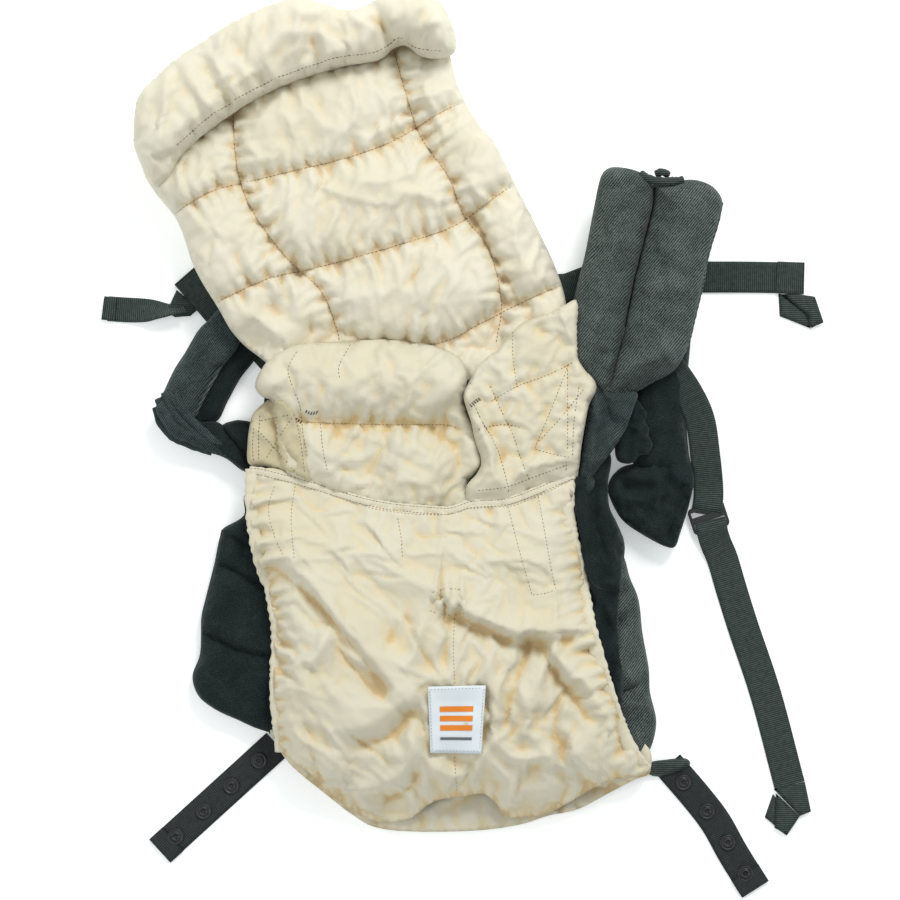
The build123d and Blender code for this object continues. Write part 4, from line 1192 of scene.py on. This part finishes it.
def pocket():
    """Hood pocket on the body: a flat bag, its zip and the coil teeth."""
    outline = [(-118, -80), (-60, -78), (20, -78), (68, -80), (76, -150), (68, -214), (-20, -217), (-110, -214),
               (-120, -150)]
    piece = cushion("pocket", outline, lambda xy: 33.6 + 1.2 * crinkle(xy, 80, 40, 16, 25), level(28), CANVAS, rim=5,
                    rim_at=0.4, step=6)
    settle(piece, "root", ["pocket_bag"])
    rows = [[(-112, -98), (-60, -98), (0, -98), (64, -98)], [(-112, -206), (-20, -209), (62, -206)]]
    sew("root", "dark_canvas", "pocket_stitches", rows, [piece], BLACK_THREAD, 2.2, 0.9, 0.28)
    tape = webbing("zip_tape", [(-104, -87, 35, 0), (-40, -87, 35, 0), (20, -87, 35, 0), (64, -87, 35, 0)], 13, STRAP,
                   1.0)
    settle(tape, "root", ["pocket_zip_tape"])
    coil = rope("zip_coil", [(-102, -87, 35.8), (-40, -87, 35.8), (20, -87, 35.8), (62, -87, 35.8)], 1.6, PLASTIC,
                0.3, 1.8,
                8, 0.6)
    settle(coil, "root")


# ---------------------------------------------------------------- right shoulder strap

def right_strap():
    """Right shoulder strap: two padded halves along a crease, its back, lower fold and twisted root."""
    left = [(152, 207), (146, 213), (135, 218), (121, 220), (114, 218), (110, 213), (107, 202), (103, 181), (97, 150),
            (91, 127), (86, 99), (87, 72), (92, 60), (104, 47), (114, 40), (118, 48)]
    right = [(152, 207), (164, 208), (182, 210), (196, 206), (204, 198), (206, 189), (202, 174), (195, 151),
             (190, 125),
             (184, 100), (179, 79), (172, 64), (164, 56), (152, 50), (138, 42), (120, 36), (108, 44), (117, 52)]
    crease = [(126, 81), (131, 104), (137, 133), (144, 161), (151, 190)]
    tucks = [([(109, 46), (134, 60), (161, 70)], 8, 7, 4), ([(116, 40), (140, 50), (166, 60)], -6, 5, 5),
             ([(113, 72), (110, 60), (108, 50)], -9, 5, 5), ([(122, 74), (116, 62), (110, 50)], 6, 6, 5),
             ([(106, 206), (120, 202), (132, 206)], -3, 4, 4), ([(160, 140), (176, 136), (188, 138)], -1.5, 6, 6)]
    line = smooth_line([(152, 207)] + crease[::-1] + [(118, 58)], 4)

    def top(xy):
        d, _, _ = to_line(xy, line)
        z = 60 - 6 * np.clip(1 - d / 26, 0, 1) ** 2 + folds(xy, tucks)
        z += creases(xy, (90, 205, 50, 210), 40, 15, 40, 40, 1.0, 3.5, 29)
        return z + 0.8 * speckle(xy, 26, 27) + puckers(xy, line, 2.5, 10, 14, 28)

    for side, outline in (("left", left + crease), ("right", right + crease)):
        lobe = cushion(f"strap_right_{side}_lobe", outline, top, level(28), LIGHTER_TWILL, rim=23, rim_at=0.35, step=2.8,
                       swell=(2.0, 10, 1.5, 0.03))
        settle(lobe, "right_strap",
               ["right_strap_cover", "right_strap_foam"] if side == "left" else ())
    edge = smooth_line([(205, 192), (201, 174), (194, 151), (189, 125), (183, 100), (178, 80), (171, 66)], 6)
    settle(rope("strap_right_piping", [(x, y, 41) for x, y in edge], 1.8, LIGHTER_TWILL, 0.15, 6, 8, 1.0, 71), "right_strap")

    back_outline = [(122, 200), (150, 206), (190, 203), (198, 182), (191, 140), (184, 100), (181, 70), (178, 34),
                    (181, -8),
                    (184, -20), (176, -26), (150, -24), (134, -12), (126, 6), (132, 40), (128, 120)]

    def back_top(xy):
        return 30 + 1.5 * crinkle(xy, 85, 60, 14, 31) - 10 * np.clip((-xy[:, 1] + 20) / 60, 0, 1)

    back = cushion("strap_right_back", back_outline, back_top, level(3), CANVAS, rim=16, rim_at=0.45,
                   swell=(2.0, 14, 3, 0.02))
    settle(back, "right_strap")

    tip_outline = [(122, -22), (132, -16), (160, -12), (179, -14), (185, -26), (181, -48), (174, -70), (170, -81),
                   (162, -81), (143, -71), (127, -59), (117, -40), (117, -30)]
    tip_tucks = [([(182, -30), (178, -56), (170, -78)], 5, 4, 4), ([(174, -34), (170, -54), (162, -74)], -5, 4, 4),
                 ([(124, -24), (146, -26), (168, -22)], 5, 6, 6), ([(126, -40), (144, -44), (156, -36)], 3, 5, 5),
                 ([(156, -34), (152, -50), (154, -66)], 3, 5, 5), ([(130, -34), (150, -34), (164, -30)], -4, 5, 5)]

    def tip_top(xy):
        z = 23 + folds(xy, tip_tucks) + creases(xy, (118, 184, -80, -14), 34, -65, 40, 34, 4.0, 3.5, 36)
        return z + crumple(xy, 14, 6.0, -60, 1.8, 24.5)

    tip = cushion("strap_right_tip", tip_outline, tip_top, level(3), CANVAS, rim=10, rim_at=0.4, step=2.5,
                  swell=(1.5, 12, 3, 0.05))
    settle(tip, "right_strap")

    lobe_outline = [(130, 34), (137, 37), (143, 31), (147, 25), (146, 19), (149, 13), (148, 7), (151, 1), (148, -7),
                    (141, -8), (137, -13), (130, -15), (122, -10), (122, 12)]
    lobe_tucks = [([(134, 30), (140, 14), (136, -4)], 4, 4, 4), ([(142, 24), (146, 8), (140, -6)], -3, 3, 3)]

    def lobe_top(xy):
        return 38 + folds(xy, lobe_tucks) + crumple(xy, 9, 5.0, 75, 1.6, 23.5)

    lobe = cushion("strap_right_lobe", lobe_outline, lobe_top, level(24), CANVAS, rim=5, rim_at=0.4, step=2.0,
                   swell=(1, 12, 2.5, 0.05))
    settle(lobe, "right_strap")

    root_outline = [(105, 49), (118, 44), (138, 42), (136, 30), (128, 10), (118, -6), (107, -20), (104, -34),
                    (98, -40),
                    (92, -36), (92, -22), (95, 0), (99, 26)]
    root_tucks = [([(136, 36), (124, 14), (108, -14)], 8, 4, 6), ([(110, 40), (114, 26), (116, 18)], -8, 5, 5),
                  ([(102, 30), (104, 10), (100, -16)], 4, 6, 6), ([(108, 12), (106, -4), (102, -24)], -3, 4, 4)]

    def root_top(xy):
        z = np.interp(xy[:, 1], [-40, 0, 45], [42, 50, 56]) + folds(xy, root_tucks)
        return z + creases(xy, (92, 138, -38, 46), 18, 68, 20, 44, 2.5, 3.0, 39) + crumple(xy, 12, 3.0, 66, 2.2, 25.5)

    root = cushion("strap_right_root", root_outline, root_top, level(30), WORN, rim=9, rim_at=0.4, step=2.6,
                   swell=(1.5, 14, 3, 0.04))
    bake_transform(root)
    rope_path = [(141, 214, 46), (147, 210, 50), (157, 208, 51), (166, 208, 50), (174, 209, 46)]
    loop = rope("strap_right_loop", rope_path, 3.4, STRAP, 0.15, 5, 12, 0.8)
    settle(loop, "right_strap", ["right_strap_top_loop"])
    knot = rope("strap_right_loop_end", [(153, 214, 46), (158, 215.5, 48), (163, 213, 46)], 3.0, STRAP, 0.15, 5, 12,
                0.8)
    settle(knot, "right_strap")


def right_webbings():
    """Adjuster webbing, chest webbing and tail of the right strap."""
    adjuster = webbing("adjuster_webbing",
                       [(163, 66, 27, 20), (179, 42, 27, 15), (189, 20, 24, 12), (193.5, -8, 18, 8),
                                            (196.5, -34, 10, 0), (196.2, -46, 8.8, 0), (195.3, -52, 7.0, 0),
                                            (194.8, -55, 3.5, 0)], 24, STRAP)
    settle(adjuster, "right_strap", ["right_adjuster_webbing"])
    chest = webbing("chest_webbing_end", [(98, 134.5, 1.2, 0), (180, 134.3, 1.2, 0), (230, 134.2, 1.4, 0),
                                          (273, 133.3, 1.4, 0)], WEBBING, STRAP)
    settle(chest, "right_strap", ["right_chest_webbing"])
    tab = webbing("chest_webbing_turn", [(251.5, 134, 3.3, 0), (262, 133.5, 3.5, 0), (273.5, 133.2, 3.2, 0)],
                  WEBBING + 0.6, STRAP)
    settle(tab, "right_strap")
    folded_end("chest_webbing_twist", [
        ([(253, 121), (254, 103), (279, 93), (276, 105), (257, 120)], 0.4, 0.02, 0.0),
        ([(256, 120.5), (275, 105), (279, 93.5), (289, 98), (282, 118.5), (266, 121)], 2.4, 0.05, 0.03)],
        "right_strap", ["right_chest_fold"])

    tail = webbing("tail_right", [(197.7, -60.2, 7.6, 0), (198.8, -64.5, 8.8, 0), (200, -70, 7.4, 0),
                                  (203, -79, 4.0, 0), (208.5, -92, 1.8, 0),
                                  (215, -114, 1.4, 0), (225, -146, 1.4, 0), (243, -200, 1.4, 0), (262, -272, 1.4, 0)],
                   WEBBING, STRAP)
    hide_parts("right_tail_webbing")
    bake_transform(tail)
    folded_end("tail_right_end", [
        ([(249, -275), (274, -269), (279, -293), (270, -296.5)], 2.4, 0.0, 0.0),
        ([(251, -278.5), (270, -296.5), (259.5, -312), (249.5, -305.5), (251, -290)], 3.0, 0.02, 0.0),
        ([(248.5, -279), (253, -284), (253, -307), (242, -297.5)], 0.9, 0.0, 0.0)], "right_tail", ["right_tail_hem"])


def folded_end(name, parts, body, stands_for=()):
    """Turned-over webbing: flat plates with crisp corners, each (outline, height, tilt along x, tilt along y)."""
    for number, (outline, low, along, across) in enumerate(parts):
        x0, y0 = outline[0]

        def top(xy, low=low, along=along, across=across, x0=x0, y0=y0):
            return low + FOLDED_THICKNESS + (xy[:, 0] - x0) * along + (xy[:, 1] - y0) * across

        def bottom(xy, top=top):
            return np.maximum(top(xy) - FOLDED_THICKNESS, 0.2)

        plate = cushion(f"{name}_{number + 1}", straight_run(outline, 3), top, bottom, STRAP, rim=1.2, rim_at=0.5,
                        step=2.4)
        settle(plate, body, stands_for if number == 0 else ())


# ---------------------------------------------------------------- left shoulder strap

def left_strap():
    """Left shoulder strap: a looped, pleated pad with its webbings and tail."""
    outer = [(-186, 108), (-194, 108), (-201, 100), (-210, 91), (-220, 74), (-229, 60), (-237, 43), (-244, 29),
             (-241, 20),
             (-232, 7), (-219, 2), (-206, 8), (-213, 20), (-206, 38), (-194, 58), (-187, 66), (-177, 81), (-176, 98)]
    tucks = [([(-240, 30), (-230, 16), (-212, 4)], 4, 4, 4), ([(-234, 36), (-224, 20), (-208, 8)], -4, 3, 3),
             ([(-228, 34), (-218, 22), (-208, 12)], 4, 4, 3), ([(-192, 95), (-207, 67), (-224, 34)], -3, 2.5, 2.5)]

    def outer_top(xy):
        return 30 + folds(xy, tucks) + 0.8 * speckle(xy, 14, 43)

    piece = cushion("strap_left", outer, outer_top, level(14), WORN, rim=10, rim_at=0.45, step=2.8,
                    swell=(2.0, 12, 2, 0.03))
    settle(piece, "left_strap", ["left_strap_cover", "left_strap_foam"])
    rows = [[(-190, 96), (-205, 68), (-222, 36)]]
    sew("left_strap", "dark_canvas", "strap_left_stitches", rows, [piece], BLACK_THREAD, 2.2, 0.9, 0.28)
    runs = [[(-243, 30, 20), (-240, 19, 22), (-230, 7, 22), (-215, 0, 19), (-199, -5, 16)],
            [(-241, 37, 25), (-235, 22, 27), (-223, 9, 26), (-208, 1, 22), (-196, -4, 18)],
            [(-236, 42, 28), (-229, 26, 29), (-217, 13, 28), (-203, 2, 24), (-193, -5, 19)],
            [(-228, 40, 29), (-222, 28, 30), (-212, 17, 29), (-200, 5, 25), (-190, -5, 20)]]
    for number, run in enumerate(runs):
        pleat = rope(f"strap_left_pleat_{number + 1}", run, 3.6, WORN, 0.12, 11, 14, 0.8, number + 80)
        settle(pleat, "left_strap")
    edge = rope("strap_left_edge", [(-180, 80, 20), (-192, 62, 21), (-204, 41, 21), (-213, 23, 21)], 1.5, LIGHTER_TWILL, 0.15,
                6, 8, 1.0, 90)
    settle(edge, "left_strap")
    under = [(-205, 92), (-176, 96), (-160, 84), (-164, 70), (-177, 53), (-187, 35), (-197, 18), (-222, 14),
             (-232, 36)]
    back = cushion("strap_left_back", under, lambda xy: 14 + crinkle(xy, 60, 40, 12, 45), level(3), CANVAS, rim=8,
                   rim_at=0.4,
                   step=4)
    settle(back, "left_strap")
    flat = [(-214, 18), (-206, 19), (-194, 18), (-187, 11), (-176, -2), (-165, -16), (-166, -23), (-176, -20),
            (-188, -11),
            (-203, -5), (-216, 2), (-222, 8)]
    flat_tucks = [([(-212, 10), (-196, 0), (-180, -12)], 4, 4, 4), ([(-206, 16), (-192, 8), (-178, -6)], -2, 3, 3)]
    turn = cushion("strap_left_turn", flat, lambda xy: 22 + folds(xy, flat_tucks), level(5), CANVAS, rim=8,
                   rim_at=0.4, step=3,
                   swell=(1.5, 12, 2, 0.03))
    settle(turn, "left_strap")
    root_outline = [(-192, 14), (-182, 19.5), (-174, 19.5), (-164, 17), (-156, 10), (-158, -12), (-166, -16),
                    (-180, -2)]
    root = cushion("strap_left_root", root_outline, lambda xy: 19 + 1.5 * crinkle(xy, 10, 20, 8, 46), level(4),
                   CANVAS, rim=7,
                   rim_at=0.4, step=3)
    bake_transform(root)

    ribbed = webbing("ribbed_webbing", [(-222, 135, 3.0, 0), (-208, 119, 5.0, 0), (-190, 98, 7, 0)], 21, STRAP)
    settle(ribbed, "left_strap", ["left_ribbed_webbing"])
    hidden = webbing("inner_webbing_left",
                     [(-168, 78, 4.0, 0), (-156, 65, 4.5, 0), (-146, 52, 5, 0), (-128, 34, 5.5, 0), (-112, 20, 6, 0)],
                     13, STRAP)
    settle(hidden, "root")
    tail = webbing("tail_left", [(-222, 110, 8, 64), (-229, 108.5, 9, 66), (-236, 107.3, 8.5, 60),
                                 (-243, 107.2, 6.5, 44),
                                 (-252, 107.5, 3.4, 20), (-268, 108, 1.6, 2), (-283, 109, 1.6, 0)], 20, STRAP)
    settle(tail, "left_tail", ["left_tail_webbing"])
    folded_end("tail_left_knee", [([(-228, 124), (-233, 113), (-236, 106), (-229, 102), (-217, 103), (-211, 108.5),
                                    (-216, 114)], 4.2, 0.0, 0.0)], "left_tail")
    end = webbing("tail_left_end", [(-277, 108.6, 3.2, 0), (-282, 109, 3.3, 0), (-287, 109.6, 3.0, 0)], 19, STRAP)
    settle(end, "left_tail", ["left_tail_hem"])


# ---------------------------------------------------------------- hood's snap straps and hidden webbing

def snap_strap(side, path, end):
    """One snap strap and its turned hem."""
    strap = webbing(f"snap_strap_{side}", path, WEBBING, SNAP_TAPE, 1.9)
    settle(strap, f"{side}_snap", [f"{side}_snap_strap"])
    hem = webbing(f"snap_strap_{side}_hem", end, WEBBING + 0.4, SNAP_TAPE, 1.4)
    settle(hem, f"{side}_snap")


def snap_straps():
    """Both snap straps, their roots on the hood and their snaps."""
    snap_strap("left", [(-148, -239.4, 1.1, 0), (-180, -268.5, 1.1, 0), (-210, -295.8, 1.1, 0),
                        (-241.5, -324.5, 1.1, 0)],
               [(-231, -315, 2.7, 0), (-236, -319.5, 2.7, 0), (-241.6, -324.6, 2.7, 0)])
    snap_strap("right", [(165, -255.5, 1.1, 0), (187, -281, 1.1, 0), (203, -302, 1.1, 0), (217, -327, 1.1, 0),
                         (234.5, -355, 1.1, 0)],
               [(226, -341.5, 2.7, 0), (230, -348, 2.7, 0), (234.6, -355.2, 2.7, 0)])
    tab = webbing("snap_strap_left_root", [(-126, -220, 21, 0), (-135, -228, 14, 0), (-142, -234.5, 6, 0),
                                           (-146.5, -238.5, 2.2, 0)],
                  WEBBING - 1, SNAP_TAPE, 1.4)
    settle(tab, "hood")
    outline = [(128, -252), (144, -260), (155, -265), (170, -262), (182, -256), (180, -251), (172, -250.5),
               (158, -252), (144, -253),
               (130, -246)]
    seam = [([(150, -259), (160, -256), (172, -256)], 2, 2, 2), ([(154, -262), (166, -259), (178, -256)], 2, 2, 2)]

    def root_low(xy):
        return np.interp(xy[:, 0], [128, 140, 149, 155], [22, 14, 4, 1])

    root = cushion("snap_strap_right_root", outline, lambda xy: root_low(xy) + 4.5 + folds(xy, seam), root_low, STRAP,
                   rim=4,
                   rim_at=0.4, step=2)
    settle(root, "hood", ["right_snap_strap_root"])
    for side, nodes_at in (("left", SNAPS_LEFT), ("right", SNAPS_RIGHT)):
        snap_row(side, nodes_at)


SNAPS_LEFT = [(-162.4, -252.4), (-184.5, -272.6), (-206.7, -292.8), (-228.9, -313)]
SNAPS_RIGHT = [(177.1, -269.7), (196, -292.9), (212.6, -317.8), (226.6, -342.6)]


def snap_row(side, centres):
    """Pressed plastic snaps: a rounded ring, a dished face, a socket with its slot and the dimple in the strap."""
    outline = [(0.0, 1.0), (1.2, 0.9), (1.8, 0.7), (1.9, 2.4), (2.6, 2.9), (3.5, 2.6), (3.8, 1.4), (4.6, 1.0),
               (5.2, 1.5),
               (5.9, 1.7), (6.4, 1.2), (6.6, 0.2)]
    sides, strap_top, dish = 40, 1.9, 1.0
    points, faces = [], []
    for x, y in centres:
        first = len(points)
        for radius, height in outline:
            for k in range(sides):
                angle = 2 * math.pi * k / sides
                slot = 0.8 if 2.0 < radius < 3.7 and k % (sides // 2) < 3 else 0.0
                points.append((x + radius * math.cos(angle), y + radius * math.sin(angle), strap_top + height - slot))
        for ring in range(len(outline) - 1):
            for k in range(sides):
                m = (k + 1) % sides
                a, b = first + ring * sides, first + (ring + 1) * sides
                faces.append((a + k, b + k, b + m, a + m))
        points += [(x, y, strap_top + dish), (x, y, strap_top)]
        last = first + (len(outline) - 1) * sides
        faces += [(len(points) - 1, last + (k + 1) % sides, last + k) for k in range(sides)]
    row = new_object(f"snaps_{side}", metres(points), faces, PLASTIC)
    settle(row, f"{side}_snap", [f"{side}_strap_snaps"])


def hidden_webbing():
    """Waist and chest webbing under the body and the insert, threaded into the buckles."""
    waist_z, chest_z = 7.0, 5.5
    runs = {
        "waist_webbing_left": ([(-146, -12), (-112, 4), (-80, 6), (-56, 6)], 38, waist_z),
        "waist_webbing_right": ([(17, 6), (60, 2), (98, -10)], 38, waist_z),
        "chest_webbing_left": ([(-150, 112), (-122, 121), (-100, 122), (-86, 122)], 25, chest_z),
        "chest_webbing_right": ([(-26, 122), (30, 122), (92, 125)], 25, chest_z),
    }
    for name, (line, width, z) in runs.items():
        run = webbing(name.replace("webbing", "strap_run"), [(x, y, z, 0) for x, y in line], width, STRAP)
        settle(run, "root", [name])
    show = webbing("chest_strap_seen", [(70, 120, 6, 0), (84, 125, 8, 0), (100, 131, 10, 0)], 24, STRAP)
    settle(show, "root")


def cad_finishes():
    """Hard CAD pieces keep their shape and get their material."""
    for name, obj in frame["nodes"].items():
        if "buckle" in name or "lock" in name:
            finish = PLASTIC
        elif name == "pocket_zip_slider":
            finish = NICKEL
        else:
            continue
        obj.data.materials.clear()
        obj.data.materials.append(finish)


# ---------------------------------------------------------------- table, light and camera

CAMERA_AT = (-9.6, -4.0, 3600)
FLOOR_HALF = 3.0


def studio():
    """Pale table, soft lights and the camera above the part."""
    white, _, _, principled = shader("white_table", (0.93, 0.95, 0.95), 0.9)
    principled.inputs["Emission Color"].default_value = (0.95, 1.0, 1.0, 1)
    principled.inputs["Emission Strength"].default_value = 0.3
    floor = new_object("table",
                       [(x * FLOOR_HALF, y * FLOOR_HALF, 0) for x, y in ((-1, -1), (1, -1), (1, 1), (-1, 1))],
                       [(0, 1, 2, 3)], white)
    world = bpy.data.worlds.new("studio")
    world.use_nodes = True
    world.node_tree.nodes["Background"].inputs["Color"].default_value = (0.97, 0.99, 1.0, 1)
    world.node_tree.nodes["Background"].inputs["Strength"].default_value = 0.66
    bpy.context.scene.world = world
    for name, at, size, power in (("key", (0.7, 1.7, 1.9), 0.8, 44), ("side", (-1.6, -0.3, 1.9), 1.0, 10)):
        light = bpy.data.lights.new(name, "AREA")
        light.size = size
        light.energy = power
        light.color = (1.0, 0.985, 0.95)
        lamp = bpy.data.objects.new(name, light)
        lamp.location = at
        lamp.rotation_euler = (-Vector(at)).to_track_quat("-Z", "Y").to_euler()
        bpy.context.collection.objects.link(lamp)
    bpy.context.scene.view_settings.view_transform = "Standard"
    camera = bpy.data.cameras.new("camera")
    camera.sensor_width = 36
    camera.lens = 180
    viewer = bpy.data.objects.new("camera", camera)
    viewer.location = metres(CAMERA_AT)
    bpy.context.collection.objects.link(viewer)
    bpy.context.scene.camera = viewer


insert_quilt()
insert_roll()
left_corner(body_top())
right_flap()
hood()
belt()
body_side()
pocket()
right_strap()
right_webbings()
left_strap()
snap_straps()
hidden_webbing()
cad_finishes()
studio()
